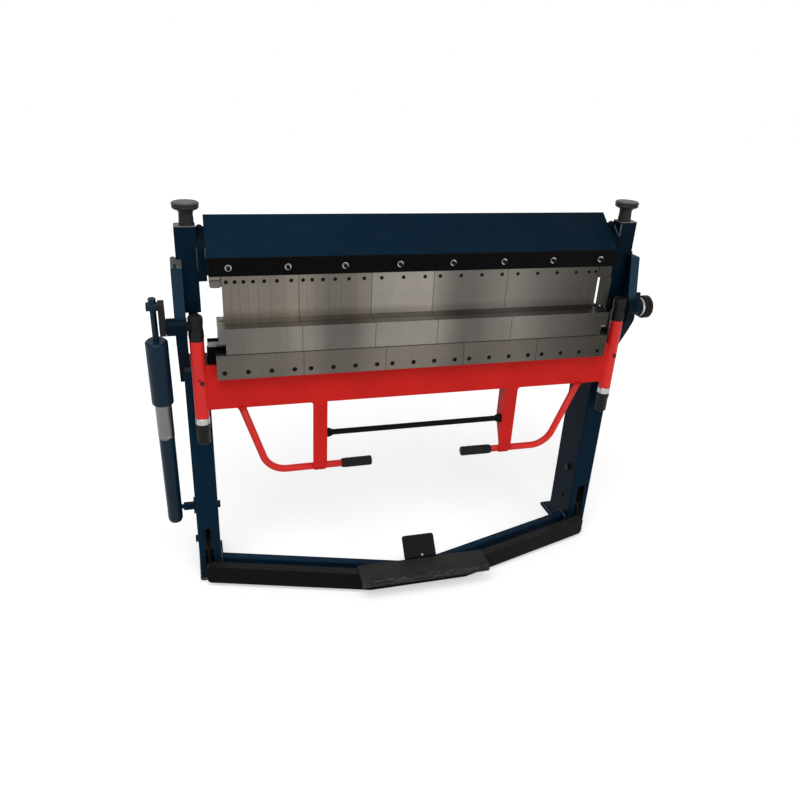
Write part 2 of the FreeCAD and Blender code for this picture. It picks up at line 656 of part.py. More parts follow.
def make_floor_beam():
    """V-shaped beam that ties the columns at the floor, straight in the middle."""
    made = new_body("floor_beam")
    flat, wide = k.floor_beam_flat, k.floor_beam_wide
    rear_end, rear_apex = k.floor_beam_end, k.floor_beam_apex
    outline = [(-k.column_inner, rear_end), (-flat + 18.0, rear_apex), (flat - 18.0, rear_apex),
               (k.column_inner, rear_end), (k.column_inner, rear_end - wide),
               (flat + 19.0, rear_apex - wide + 11.0), (-flat - 19.0, rear_apex - wide + 11.0),
               (-k.column_inner, rear_end - wide)]
    prism(made, "beam", "XY_Plane", [outline], k.floor_beam_bottom, k.floor_beam_top)
    top = k.floor_beam_top.value
    end = k.column_inner.value - 1.0
    dress(made, "top_edges", "Chamfer", 3.0,
          lambda edge, middle: near(middle.z, top) and abs(middle.x) < end)
    return made


make_floor_beam()


def make_bed():
    """Deep box beam between the columns with rail, strip and lower jaw on top."""
    beam = new_body("bed_beam")
    wall = k.bed_wall
    slope = k.bed_top_drop / (k.bed_back - k.bed_crest)
    outer = [(k.bed_front, k.bed_bottom), (k.bed_front, k.bed_top), (k.bed_crest, k.bed_top),
             (k.bed_back, k.bed_top - k.bed_top_drop), (k.bed_back, k.bed_bottom)]
    inner_front, inner_back, floor = k.bed_front + wall, k.bed_back - wall, k.bed_bottom + wall
    under = k.bed_top - wall * 1.1
    inner = [(inner_front, floor), (inner_front, under), (k.bed_crest, under),
             (inner_back, under - slope * (inner_back - k.bed_crest)), (inner_back, floor)]
    prism(beam, "box", "YZ_Plane", [outer, inner], -k.column_inner, k.column_inner)
    bottom = k.bed_bottom.value
    dress(beam, "folds", "Fillet", 5.0,
          lambda edge, middle: along(edge, 0) and near(middle.z, bottom))
    rail_top = k.bed_top + k.bed_rail_tall
    strip_top = rail_top + k.bed_strip_tall
    reach = k.row_half + k.horn
    rail = new_body("bed_rail")
    wedge = [(k.bed_rail_front, k.bed_top), (k.bed_crest, k.bed_top),
             (k.bed_rail_back, k.bed_top - slope * (k.bed_rail_back - k.bed_crest)),
             (k.bed_rail_back, rail_top), (k.bed_rail_front, rail_top)]
    prism(rail, "bar", "YZ_Plane", [wedge], -reach, reach)
    lug = rectangle(k.bed_rail_front, k.bed_top, k.bed_lug_back, rail_top)
    prism(rail, "lugs", "YZ_Plane", [lug], -k.bed_rail_half, k.bed_rail_half)
    strip = new_body("bed_strip")
    bar = rectangle(k.bed_rail_front, rail_top, k.bed_rail_back, strip_top)
    prism(strip, "bar", "YZ_Plane", [bar], -reach, reach)
    lug = rectangle(k.bed_rail_front, rail_top, k.bed_lug_back, strip_top)
    prism(strip, "lugs", "YZ_Plane", [lug], -k.bed_rail_half, k.bed_rail_half)
    blade = new_body("bed_blade")
    front, back, top = k.bed_blade_front, k.bed_blade_back, k.fold_height - k.running_gap
    jaw = [(front, top), (front, top - k.bed_blade_lip), (k.bed_rail_front, strip_top),
           (back, strip_top), (back, top - 8.0), (back - 8.0, top)]
    prism(blade, "jaw", "YZ_Plane", [jaw], -reach, reach)


make_bed()


def hexagon(across, up, corner_radius):
    """A hexagon with two level sides."""
    across, up, corner_radius = as_size(across), as_size(up), as_size(corner_radius)
    half = corner_radius / 2
    high = corner_radius * 0.8660254
    return [(across + corner_radius, up), (across + half, up + high), (across - half, up + high),
            (across - corner_radius, up), (across - half, up - high), (across + half, up - high)]


def make_frame_bolt(label, side, up, inner_head, has_outer_head):
    """A bolt right through the column; the balancer's bracket covers one outer end."""
    made = new_body(label, is_sub_part=False)
    inner, outer = k.column_inner, column_outer
    prism(made, "shank", "YZ_Plane", [(k.axle_back, up, k.bolt_radius)], side * inner, side * outer)
    head = hexagon(k.axle_back, up, k.bolt_head_radius)
    prism(made, "inner_head", "YZ_Plane", [head], side * (inner - inner_head), side * inner)
    if has_outer_head:
        prism(made, "outer_head", "YZ_Plane", [head], side * outer,
              side * (outer + k.bolt_head_tall))
    return made


frame_bolts = []
for side, name in SIDES:
    frame_bolts.append(make_frame_bolt(f"{name}_upper_bolt", side, k.bolt_height,
                                       k.bolt_head_tall, side > 0))
    frame_bolts.append(make_frame_bolt(f"{name}_axle_bolt", side, k.axle_height,
                                       k.axle_head_tall, True))
group("frame_bolts", frame_bolts)


def make_bracket():
    """Bracket on the outside of the left column with the balancer's foot pivot."""
    made = new_body("balancer_bracket")
    back, up = k.axle_back, k.balancer_foot
    half = 22.0
    plate = rectangle(back - half, up - half, back + half, up + half)
    prism(made, "plate", "YZ_Plane", [plate], -column_outer, -column_outer - 6.0)
    end = k.balancer_side - k.balancer_radius - 6.0
    block = rectangle(back - 10.0, up - 10.0, back + 10.0, up + 10.0)
    prism(made, "block", "YZ_Plane", [block], -column_outer, -end)
    prism(made, "pivot", "YZ_Plane", [(back, up, k.bolt_radius)], -end + 4.0,
          -k.balancer_side - 12.0)
    outer = column_outer.value + 6.0
    dress(made, "plate_corners", "Fillet", 6.0,
          lambda edge, middle: along(edge, 0) and abs(middle.x) < outer
          and abs(middle.y - back.value) > half - 1.0)
    return made


make_bracket()


def make_angle_stop():
    """Housing on the right cheek, scale ring and clamping knob on the pivot pin."""
    housing = new_body("stop_housing")
    start, pivot = k.cheek_outer, k.fold_height
    end = k.stop_reach
    ring = [(0.0, pivot, k.boss_radius), (0.0, pivot, k.pin_radius + k.running_gap)]
    prism(housing, "barrel", "YZ_Plane", ring, start, end)
    lug = rectangle(-6.0, pivot + k.boss_radius - 2.0, 6.0, pivot + k.boss_radius + 26.0)
    prism(housing, "pointer", "YZ_Plane", [lug], start, start + 13.0)
    top = lug[2][1].value
    dress(housing, "pointer_top", "Fillet", 4.5,
          lambda edge, middle: along(edge, 0) and near(middle.z, top))
    hook = [(-5.0, pivot - k.boss_radius + 1.5), (5.0, pivot - k.boss_radius + 1.5),
            (3.0, pivot - k.boss_radius - 27.0), (-3.0, pivot - k.boss_radius - 27.0)]
    prism(housing, "hook", "YZ_Plane", [hook], start, start + 5.0)

    ring_start = end + k.running_gap
    ring_end = ring_start + k.stop_ring_wide
    scale = new_body("stop_ring")
    ring = [(0.0, pivot, k.stop_ring_radius), (0.0, pivot, k.pin_radius)]
    prism(scale, "ring", "YZ_Plane", ring, ring_start, ring_end)

    knob = new_body("stop_knob")
    knob_start = ring_end + k.running_gap
    knob_end = knob_start + k.stop_knob_wide
    prism(knob, "disc", "YZ_Plane", [(0.0, pivot, k.stop_knob_radius)], knob_start, knob_end)
    hole = (0.0, pivot, k.pin_radius + k.shaft_gap)
    prism(knob, "bore", "YZ_Plane", [hole], knob_start - 1.0, knob_end - 3.0, cut=True)
    radius = k.stop_knob_radius.value
    dress(knob, "rim", "Chamfer", 3.0,
          lambda edge, middle: edge.Curve.TypeId == "Part::GeomCircle"
          and near(edge.Curve.Radius, radius))
    groove = [(0.0, pivot, k.stop_knob_radius + 1.0), (0.0, pivot, k.stop_knob_radius - 3.0)]
    prism(knob, "groove", "YZ_Plane", [groove[0], groove[1]], knob_start + 8.0,
          knob_start + 11.0, cut=True)


make_angle_stop()


# Clamping beam

def face_height(back):
    """Height of the upper beam's slanted face over a point behind the fold line."""
    rise = (k.beam_top - k.beam_lip_height) / (k.beam_ridge - k.beam_lip)
    return k.beam_lip_height + rise * (back - k.beam_lip)


def make_guide_box(side, name):
    """Box that slides in the cheek, with the gusset that carries the upper beam."""
    made = new_body(f"{name}_guide_box")
    face = rectangle(side * k.box_inner, k.box_front, side * k.box_outer, k.box_back)
    prism(made, "box", "XY_Plane", [face], k.box_bottom, k.box_top)
    front = k.gusset_front
    gusset = [(front, k.gusset_bottom), (front, face_height(front)),
              (k.box_back, face_height(k.box_back)), (k.box_back, k.gusset_bottom)]
    prism(made, "gusset", "YZ_Plane", [gusset], side * k.beam_half, side * k.box_inner)
    bore = (side * k.rod_side, k.rod_back, k.rod_radius)
    prism(made, "bore", "XY_Plane", [bore], k.box_bottom - 1.0, k.box_top + 1.0, cut=True)
    outer = k.box_outer.value
    dress(made, "edges", "Fillet", 3.0,
          lambda edge, middle: along(edge, 2) and near(abs(middle.x), outer))
    return made


def make_gib(side, name):
    """Wear strip on the cheek's inner side, next to the guide box."""
    made = new_body(f"{name}_gib", is_sub_part=False)
    face = rectangle(side * (k.box_outer + k.running_gap), k.box_front + 2.0,
                     side * column_outer, k.box_back - 2.0)
    prism(made, "strip", "XY_Plane", [face], k.box_bottom, k.box_bottom + k.gib_tall)
    return made


for side, name in SIDES:
    make_guide_box(side, name)
group("guide_gibs", [make_gib(side, name) for side, name in SIDES])


def make_pull_rod(side, name):
    """Rod from the height knob down the column, ending in a fork round the drive pin."""
    made = new_body(f"{name}_pull_rod", is_sub_part=False)
    centre = side * k.rod_side
    fork_top = k.slot_top + 14.0
    prism(made, "rod", "XY_Plane", [(centre, k.rod_back, k.rod_radius)], fork_top - 10.0,
          k.box_bottom - k.neck_tall)
    prism(made, "collar", "XY_Plane", [(centre, k.rod_back, k.neck_radius)],
          k.box_bottom - k.neck_tall, k.box_bottom)
    prism(made, "thread", "XY_Plane", [(centre, k.rod_back, k.rod_radius)], k.box_bottom,
          k.knob_bottom)
    middle = side * k.arm_side
    gap = k.arm_thick / 2 + 1.5
    thick = 9.0
    back = k.rod_back
    block = rectangle(middle - gap - thick, back - 12.0, middle + gap + thick, back + 12.0)
    prism(made, "block", "XY_Plane", [block], fork_top - 28.0, fork_top)
    pin_back = k.axle_back - k.drive_reach
    pin_height = k.axle_height - k.drive_drop
    reach = k.drive_pin_radius + 9.0
    front = k.column_front + k.column_wall + 0.6
    prong = [(front, pin_height - reach), (back + 6.0, pin_height - reach),
             (back + 12.0, fork_top - 28.0), (back + 12.0, fork_top - 20.0),
             (back - 12.0, fork_top - 20.0), (back - 12.0, pin_height + reach + 20.0),
             (front, pin_height + reach)]
    half = k.drive_pin_radius + 0.7
    slot = rectangle(front - 1.0, pin_height - half, pin_back + half, pin_height + half)
    for step, which in ((-1, "near"), (1, "far")):
        near_face = middle + step * gap
        far_face = near_face + step * thick
        prism(made, f"{which}_prong", "YZ_Plane", [prong], near_face, far_face)
        prism(made, f"{which}_slot", "YZ_Plane", [slot], near_face - step * 1.0,
              far_face + step * 1.0, cut=True)
    return made


group("pull_rods", [make_pull_rod(side, name) for side, name in SIDES])


def make_height_knob(side, name):
    """Turned knob with a grooved rim on a stout shank."""
    made = new_body(f"{name}_height_knob")
    low, rim, top = k.box_top + k.running_gap, k.knob_bottom, k.knob_bottom + k.knob_tall
    bore = k.rod_radius + k.shaft_gap
    shank, wide = k.shank_radius, k.knob_radius
    corners = [(bore, low), (shank + 0.8, low), (shank - 0.8, rim - 10.0), (shank + 2.0, rim - 3.0),
               (shank + 8.0, rim + 1.0), (wide - 5.0, rim + 2.0), (wide - 1.0, rim + 6.0),
               (wide - 1.0, rim + 10.0), (wide - 4.0, rim + 13.0), (wide, rim + 15.0),
               (wide, top - 4.0), (wide - 4.0, top), (0.0, top), (0.0, rim + k.running_gap),
               (bore, rim + k.running_gap)]
    turned(made, "knob", corners, side * k.rod_side, k.rod_back)
    return made


for side, name in SIDES:
    make_height_knob(side, name)


def make_upper_beam():
    """Folded box beam: upright front plate, slanted face up to the ridge, plain back."""
    made = new_body("upper_beam")
    wall = k.beam_wall
    drop = wall * 1.27
    outer = [(k.beam_front, k.beam_bottom), (k.beam_front, k.beam_lip_height),
             (k.beam_lip, k.beam_lip_height), (k.beam_ridge, k.beam_top),
             (k.beam_back, k.beam_top), (k.beam_back, k.beam_bottom)]
    inner_front = k.beam_front + wall
    inner_back = k.beam_back - wall
    floor = k.beam_bottom + wall
    inner = [(inner_front, floor), (inner_front, face_height(inner_front) - drop),
             (inner_back, face_height(inner_back) - drop), (inner_back, floor)]
    prism(made, "shell", "YZ_Plane", [outer, inner], -k.beam_half, k.beam_half)
    ridge = k.beam_top.value
    dress(made, "folds", "Fillet", 2.5,
          lambda edge, middle: along(edge, 0) and near(middle.z, ridge))
    return made


make_upper_beam()


def make_clamp_strip():
    """Black strip under the lip, with its row of washers and cap screws."""
    made = new_body("clamp_strip")
    face = rectangle(-k.strip_half, k.beam_bottom, k.strip_half,
                     k.beam_lip_height - k.running_gap)
    prism(made, "strip", "XZ_Plane", [face], k.strip_front, k.beam_front)
    washer = new_body("washer_master", is_sub_part=False)
    ring = [(0.0, 0.0, k.washer_radius), (0.0, 0.0, k.cap_radius - 2.0)]
    prism(washer, "ring", "XZ_Plane", ring, -k.washer_thick, 0.0)
    screw = new_body("strip_screw_master", is_sub_part=False)
    head = -k.washer_thick - k.cap_tall
    prism(screw, "head", "XZ_Plane", [(0.0, 0.0, k.cap_radius)], head, -k.washer_thick)
    prism(screw, "socket", "XZ_Plane", [hexagon(0.0, 0.0, k.cap_radius * 0.5)],
          head - 1.0, head + k.cap_tall / 2, cut=True)
    places = []
    for n in range(STRIP_SCREWS):
        across = k.strip_screw_pitch * (n - (STRIP_SCREWS - 1) / 2)
        places.append((across, k.strip_front, k.strip_screw_height))
    copies("strip_washers", washer, places)
    copies("strip_screws", screw, places)


make_clamp_strip()


def make_finger_rails():
    """Two layers of bare steel that the fingers are screwed to, with lugs at the ends."""
    front = k.finger_front + k.finger_thick
    rails = []
    for label, low, high in (("lower_rail", k.rail_bottom, k.rail_split - 0.5),
                             ("upper_rail", k.rail_split, k.beam_bottom)):
        made = new_body(label, is_sub_part=False)
        prism(made, "bar", "YZ_Plane", [rectangle(front, low, k.rail_back, high)],
              -k.strip_half, k.strip_half)
        for side, name in SIDES:
            root = side * (k.strip_half - k.lug_wide)
            prism(made, f"{name}_lug", "YZ_Plane", [rectangle(k.lug_front, low, front, high)],
                  root, side * k.strip_half)
        if label == "lower_rail":
            low_edge = low.value
            end = k.strip_half.value
            dress(made, "ends", "Fillet", 8.0,
                  lambda edge, middle: along(edge, 1) and near(abs(middle.x), end)
                  and near(middle.z, low_edge))
        rails.append(made)
    group("finger_rails", rails)


make_finger_rails()


def make_fingers():
    """The stepped row of fingers, horned at both ends, and all finger screws."""
    edge = -k.row_half
    front, back, top = k.finger_front, k.finger_front + k.finger_thick, k.beam_bottom
    shoulder = finger_base + k.finger_shoulder
    profile = [(k.finger_nose, finger_base), (front, shoulder), (front, top - k.running_gap),
               (back, top - k.running_gap), (back, finger_base)]
    by_kind = {}
    screw_places = []
    for n, (kind, width) in enumerate(zip(FINGER_ROW, FINGERS)):
        made = new_body(f"finger_piece_{n + 1}", is_sub_part=False)
        left, right = edge + k.finger_gap / 2, edge + width - k.finger_gap / 2
        prism(made, "plate", "YZ_Plane", [profile], left, right)
        if n in (0, len(FINGERS) - 1):
            side = -1 if n == 0 else 1
            root = left if n == 0 else right
            tip = root + side * k.horn
            nose = [(k.finger_nose, finger_base), (front, shoulder),
                    (front, finger_base + k.horn_slope), (back, finger_base + k.horn_slope),
                    (back, finger_base)]
            prism(made, "horn", "YZ_Plane", [nose], root, tip)
            slope = [(root, finger_base + k.horn_slope), (tip, finger_base + k.horn_low),
                     (tip + side * 1.0, finger_base + k.horn_slope + 1.0),
                     (root, finger_base + k.horn_slope + 1.0)]
            prism(made, "horn_slope", "XZ_Plane", [slope], k.finger_nose - 1.0, back + 1.0,
                  cut=True)
        holes = SCREWS_OF_WIDE_FINGERS.get(kind, 1)
        bores = []
        for m in range(holes):
            across = edge + width / 2 + k.finger_screw_pitch * (m - (holes - 1) / 2)
            bores.append((across, k.finger_screw_height, k.finger_screw_radius))
            screw_places.append((across, front, k.finger_screw_height))
        prism(made, "screw_bores", "XZ_Plane", bores, front - 1.0,
              front + k.finger_screw_sink + 5.0, cut=True)
        by_kind.setdefault(kind, []).append(made)
        edge = edge + width
    for kind, made_fingers in by_kind.items():
        group(f"fingers_{kind}", made_fingers)
    screw = new_body("finger_screw_master", is_sub_part=False)
    radius = k.finger_screw_radius - 0.4
    sink = k.finger_screw_sink
    prism(screw, "head", "XZ_Plane", [(0.0, 0.0, radius)], sink, sink + 5.0)
    prism(screw, "socket", "XZ_Plane", [hexagon(0.0, 0.0, radius * 0.55)], sink - 1.0,
          sink + 3.0, cut=True)
    copies("finger_screws", screw, screw_places)


make_fingers()


# Bending leaf

def make_apron():
    """Red plate with the ledge for the clamp bars and two uprights with folded flanges."""
    made = new_body("apron")
    front, back = k.tongue_back, k.tongue_back + k.apron_thick
    thin = front + k.upright_wall
    top = k.blade_bottom - 1.0
    half = (k.bar_length * BAR_COUNT) / 2
    reach = k.tube_side
    low, notch = k.apron_bottom, k.apron_notch
    outline = [(-reach, low), (reach, low), (reach, notch), (half + 1.0, notch), (half + 1.0, top),
               (-half - 1.0, top), (-half - 1.0, notch), (-reach, notch)]
    prism(made, "plate", "XZ_Plane", [outline], front, back)
    ledge = rectangle(-half, k.bar_bottom, half, k.tongue_bottom - k.running_gap)
    prism(made, "ledge", "XZ_Plane", [ledge], k.tongue_front, front)
    inner, outer, foot = k.upright_inner, k.upright_outer, k.upright_bottom
    for side, name in SIDES:
        web = rectangle(side * inner, foot, side * outer, low + 4.0)
        prism(made, f"{name}_web", "XZ_Plane", [web], front, thin)
        flange = [(front, low), (thin + k.upright_deep - 5.0, low),
                  (thin + k.upright_deep - 5.0, k.upright_taper), (thin, foot + 22.0),
                  (front, foot + 22.0)]
        prism(made, f"{name}_flange", "YZ_Plane", [flange], side * inner,
              side * (inner + k.upright_wall))
    seats = [(side * k.tube_side, 0.0, k.tube_radius) for side, name in SIDES]
    prism(made, "tube_seats", "XY_Plane", seats, low - 1.0, notch + 1.0, cut=True)
    step = half.value + 1.0
    dress(made, "notch_corners", "Fillet", 6.0,
          lambda edge, middle: along(edge, 1) and near(middle.z, notch.value)
          and near(abs(middle.x), step))
    dress(made, "upright_corners", "Fillet", k.upright_corner,
          lambda edge, middle: along(edge, 1) and near(middle.z, low.value)
          and near(abs(middle.x), outer.value))
    return made


make_apron()


def make_arm_tube(side, name):
    """Red tube at the end of the apron, sliding on the spindle inside it."""
    made = new_body(f"{name}_arm_tube", is_sub_part=False)
    centre = side * k.tube_side
    prism(made, "tube", "XY_Plane",
          [(centre, 0.0, k.tube_radius), (centre, 0.0, k.spindle_radius + k.shaft_gap)],
          k.tube_bottom, k.tube_top)
    prism(made, "set_screw_hole", "XZ_Plane", [(centre, k.set_screw_height, 4.0)],
          -k.tube_radius - 1.0, -k.spindle_radius - 2.0, cut=True)
    return made


group("arm_tubes", [make_arm_tube(side, name) for side, name in SIDES])


def make_sleeve(side, name):
    """Black cap on the arm's top end: turned, rounded on top and waisted at the pivot."""
    made = new_body(f"{name}_sleeve", is_sub_part=False)
    low, pivot, top = k.tube_top + k.running_gap, k.fold_height, k.sleeve_top
    wide, waist = k.sleeve_radius, k.sleeve_waist
    corners = [(0.0, low), (wide - 1.4, low), (wide, low + 14.0), (wide - 0.6, pivot - 18.0),
               (waist, pivot - 5.0), (waist, pivot + 2.0), (wide - 0.8, pivot + 10.0),
               (wide - 0.8, top - 8.0), (wide - 3.0, top - 3.0), (wide - 8.0, top), (0.0, top)]
    turned(made, "cap", corners, side * k.tube_side, 0.0)
    bore = (0.0, pivot, k.pin_radius)
    prism(made, "pin_bore", "YZ_Plane", [bore], side * -6.0, side * (wide + 1.0), cut=True)
    prism(made, "front_hole", "XZ_Plane", [(0.0, pivot, 3.0)], -wide - 1.0, -k.pin_radius - 1.0,
          cut=True)
    prism(made, "spindle_bore", "XY_Plane", [(0.0, 0.0, k.spindle_radius)], low - 1.0,
          low + 14.0, cut=True)
    return made


group("arm_sleeves", [make_sleeve(side, name) for side, name in SIDES])


def make_spindle(side, name):
    made = new_body(f"{name}_spindle", is_sub_part=False)
    prism(made, "spindle", "XY_Plane", [(side * k.tube_side, 0.0, k.spindle_radius)],
          k.tube_bottom - k.ring_tall - k.nut_tall + 5.0, k.tube_top + k.running_gap + 14.0)
    return made


group("leaf_spindles", [make_spindle(side, name) for side, name in SIDES])


def make_pivot_pin(side, name):
    """Swing pivot: the left one drives the crank, the right one carries the angle stop."""
    made = new_body(f"{name}_pivot_pin", is_sub_part=False)
    if side < 0:
        end = k.crank_inner + k.crank_thick
    else:
        end = k.stop_reach + k.stop_ring_wide + k.stop_knob_wide - 5.0
    prism(made, "pin", "YZ_Plane", [(0.0, k.fold_height, k.pin_radius)],
          side * (k.tube_side - 6.0), side * end)
    return made


group("pivot_pins", [make_pivot_pin(side, name) for side, name in SIDES])


def make_crank():
    """Crank arm on the left pivot pin; the balancer pulls at its upper eye."""
    made = new_body("crank_arm")
    top = k.fold_height + k.crank_radius
    wide = k.boss_radius - 8.0
    arm = [(-k.boss_radius, k.fold_height), (k.boss_radius, k.fold_height), (wide, top),
           (-wide, top)]
    start, stop = -k.crank_inner, -k.crank_inner - k.crank_thick
    prism(made, "arm", "YZ_Plane", [arm], start, stop)
    prism(made, "hub", "YZ_Plane", [(0.0, k.fold_height, k.boss_radius)], start, stop)
    prism(made, "eye", "YZ_Plane", [(0.0, top, wide)], start, stop)
    prism(made, "pin_bore", "YZ_Plane", [(0.0, k.fold_height, k.pin_radius)],
          start + 1.0, stop - 1.0, cut=True)
    return made


make_crank()


def make_lock_ring(side, name):
    made = new_body(f"{name}_lock_ring", is_sub_part=False)
    centre = side * k.tube_side
    prism(made, "ring", "XY_Plane",
          [(centre, 0.0, k.ring_radius), (centre, 0.0, k.spindle_radius + k.shaft_gap)],
          k.tube_bottom - k.ring_tall, k.tube_bottom)
    radius = k.ring_radius.value
    dress(made, "edges", "Chamfer", 1.5,
          lambda edge, middle: edge.Curve.TypeId == "Part::GeomCircle"
          and near(edge.Curve.Radius, radius))
    return made


group("lock_rings", [make_lock_ring(side, name) for side, name in SIDES])


def make_leaf_nut(side, name):
    """Knurled nut under the lock ring, turned to raise or lower the leaf."""
    made = new_body(f"{name}_leaf_nut")
    top = k.tube_bottom - k.ring_tall - k.running_gap
    bottom = top - k.nut_tall
    bore, wide, collar = k.spindle_radius + k.shaft_gap, k.nut_radius, k.nut_collar
    corners = [(0.0, bottom), (wide - 4.0, bottom), (wide, bottom + 4.0), (wide, top - 17.0),
               (collar, top - 15.0), (collar, top - 3.0), (collar - 3.0, top), (bore, top),
               (bore, bottom + 4.0), (0.0, bottom + 4.0)]
    turned(made, "nut", corners, side * k.tube_side, 0.0)
    return made


for side, name in SIDES:
    make_leaf_nut(side, name)


def make_blades():
    """The bending blades: a face, a head at the fold line and a tongue behind the bars."""
    edge = -k.row_half
    blades = []
    gap, face = k.running_gap, k.blade_front
    head = blade_top - k.blade_head
    neck = head - 17.0
    horn_low = blade_top - k.blade_horn_tall
    profile = [(face, k.blade_bottom), (face, blade_top), (-gap, blade_top), (-gap, head),
               (k.tongue_back, neck), (k.tongue_back, k.tongue_bottom),
               (k.tongue_front, k.tongue_bottom), (k.tongue_front, k.blade_bottom)]
    for n, width in enumerate(BLADES):
        made = new_body(f"blade_piece_{n + 1}", is_sub_part=False)
        left, right = edge + k.finger_gap / 2, edge + width - k.finger_gap / 2
        prism(made, "blade", "YZ_Plane", [profile], left, right)
        if n in (0, len(BLADES) - 1):
            side = -1 if n == 0 else 1
            root = left if n == 0 else right
            horn = [(face, horn_low), (face, blade_top), (-gap, blade_top), (-gap, head),
                    (k.tongue_back, neck), (k.tongue_back, horn_low)]
            prism(made, "horn", "YZ_Plane", [horn], root, root + side * k.horn)
        blades.append(made)
        edge = edge + width
    group("bending_blades", blades)


make_blades()


def make_clamp_bars():
    """Five bars with counterbored screws that hold the blades' tongues."""
    master = new_body("bar_master", is_sub_part=False)
    gap, face = k.finger_gap / 2, k.blade_front
    holes = []
    for n in range(BAR_SCREWS):
        holes.append((k.bar_hole_first + n * k.bar_hole_pitch, k.bar_hole_height,
                      k.bar_hole_radius))
    outline = rectangle(gap, k.bar_bottom, k.bar_length - gap, k.blade_bottom - 0.6)
    prism(master, "bar", "XZ_Plane", [outline], face, k.tongue_front)
    prism(master, "counterbores", "XZ_Plane", holes, face - 1.0, face + k.bar_hole_depth,
          cut=True)
    first = -(k.bar_length * BAR_COUNT) / 2
    copies("clamp_bars", master,
           [(first + n * k.bar_length, 0.0, 0.0) for n in range(BAR_COUNT)])
    screw = new_body("bar_screw_master", is_sub_part=False)
    radius = k.bar_hole_radius - 0.5
    deep = k.bar_hole_depth
    prism(screw, "head", "XZ_Plane", [(0.0, 0.0, radius)], deep - 7.0, deep)
    prism(screw, "socket", "XZ_Plane", [hexagon(0.0, 0.0, radius * 0.55)], deep - 8.0,
          deep - 3.0, cut=True)
    places = []
    for n in range(BAR_COUNT):
        for m in range(BAR_SCREWS):
            across = first + n * k.bar_length + k.bar_hole_first + m * k.bar_hole_pitch
            places.append((across, face, k.bar_hole_height))
    copies("bar_screws", screw, places)


make_clamp_bars()


def pipe_corners(side):
    """Corner points of a handle pipe, from the apron to its free end."""
    plate_middle = k.tongue_back.value + k.apron_thick.value / 2
    behind_web = k.tongue_back.value + k.upright_wall.value + k.pipe_radius.value
    forward = k.left_grip_forward if side < 0 else k.right_grip_forward
    height = k.left_grip_height if side < 0 else k.right_grip_height
    return [Vector(side * k.pipe_start.value, plate_middle, k.apron_bottom.value),
            Vector(side * k.pipe_bend.value, behind_web, k.pipe_low.value),
            Vector(side * k.pipe_lean.value, behind_web, k.pipe_low.value),
            Vector(side * k.grip_end.value, forward.value, height.value)]


def rounded_path(corners, radius):
    """Straight runs joined by tangent arcs."""
    edges = []
    start = corners[0]
    for before, corner, after in zip(corners, corners[1:], corners[2:]):
        into = (corner - before).normalize()
        out = (after - corner).normalize()
        half_turn = into.getAngle(out) / 2
        trim = radius * math.tan(half_turn)
        begin = corner - into * trim
        end = corner + out * trim
        inward = (out - into).normalize()
        middle = corner + inward * (radius / math.cos(half_turn) - radius)
        edges.append(Part.LineSegment(start, begin).toShape())
        edges.append(Part.Arc(begin, middle, end).toShape())
        start = end
    edges.append(Part.LineSegment(start, corners[-1]).toShape())
    return Part.Wire(edges)


def sweep_round(path, radius):
    """A round bar along a path that starts with a straight run."""
    first = path.Edges[0]
    direction = first.tangentAt(first.FirstParameter)
    circle = Part.makeCircle(radius, first.valueAt(first.FirstParameter), direction)
    return path.makePipeShell([Part.Wire([circle])], True, False)


def make_handles():
    """Bent pipes behind the uprights and the rubber grips on their ends."""
    pipes = []
    grips = []
    for side, name in SIDES:
        corners = pipe_corners(side)
        path = rounded_path(corners, k.pipe_turn.value)
        pipe = sweep_round(path, k.pipe_radius.value)
        wide = 4 * k.pipe_radius.value
        above = Part.makeBox(2 * wide, 2 * wide, wide, corners[0] - Vector(wide, wide, 0.0))
        pipes.append(pipe.cut(above))
        run = corners[3] - corners[2]
        share = (side * k.grip_start.value - corners[2].x) / run.x
        begin = corners[2] + run * share
        length = (corners[3] - begin).Length
        way = Vector(run).normalize()
        outer, inner = k.grip_radius.value, k.pipe_radius.value + k.shaft_gap.value
        # The grip's half section: tapered start, plain middle, rounded closed end.
        section = [(inner, 0.0), (outer - 3.0, 0.0), (outer - 1.0, 5.0), (outer, length * 0.6),
                   (outer, length), (outer - 3.0, length + 4.0), (0.0, length + 4.0),
                   (0.0, length), (inner, length)]
        flat = Part.makePolygon([Vector(r, 0.0, z) for r, z in section + section[:1]])
        grip = Part.Face(flat).revolve(Vector(), Vector(0, 0, 1), 360.0)
        grip.Placement = Placement(begin, Rotation(Vector(0, 0, 1), way))
        grips.append(grip)
    for label, shapes in (("handle_pipes", pipes), ("hand_grips", grips)):
        made = DOCUMENT.addObject("Part::Feature", label)
        made.Label = label
        made.Shape = Part.makeCompound(shapes)
        made.Placement = Placement()
        SUB_PARTS.append(made)


make_handles()


def make_cross_rod():
    """Round rod between the uprights with flared ends."""
    made = new_body("cross_rod")
    half, flare, line = k.upright_inner, k.cross_flare, k.rod_line
    prism(made, "rod", "YZ_Plane", [(line, k.rod_height, k.cross_radius)], -half, half)
    for side, name in SIDES:
        prism(made, f"{name}_flare", "YZ_Plane", [(line, k.rod_height, flare)],
              side * (half - 16.0), side * half)
    inner_face = half.value - 1.0
    dress(made, "flare_edges", "Chamfer", 4.0,
          lambda edge, middle: edge.Curve.TypeId == "Part::GeomCircle"
          and near(edge.Curve.Radius, flare.value) and abs(middle.x) < inner_face)
    return made


make_cross_rod()


# Balancer at the left. Its pieces are drawn upright from the foot pivot, then leaned.

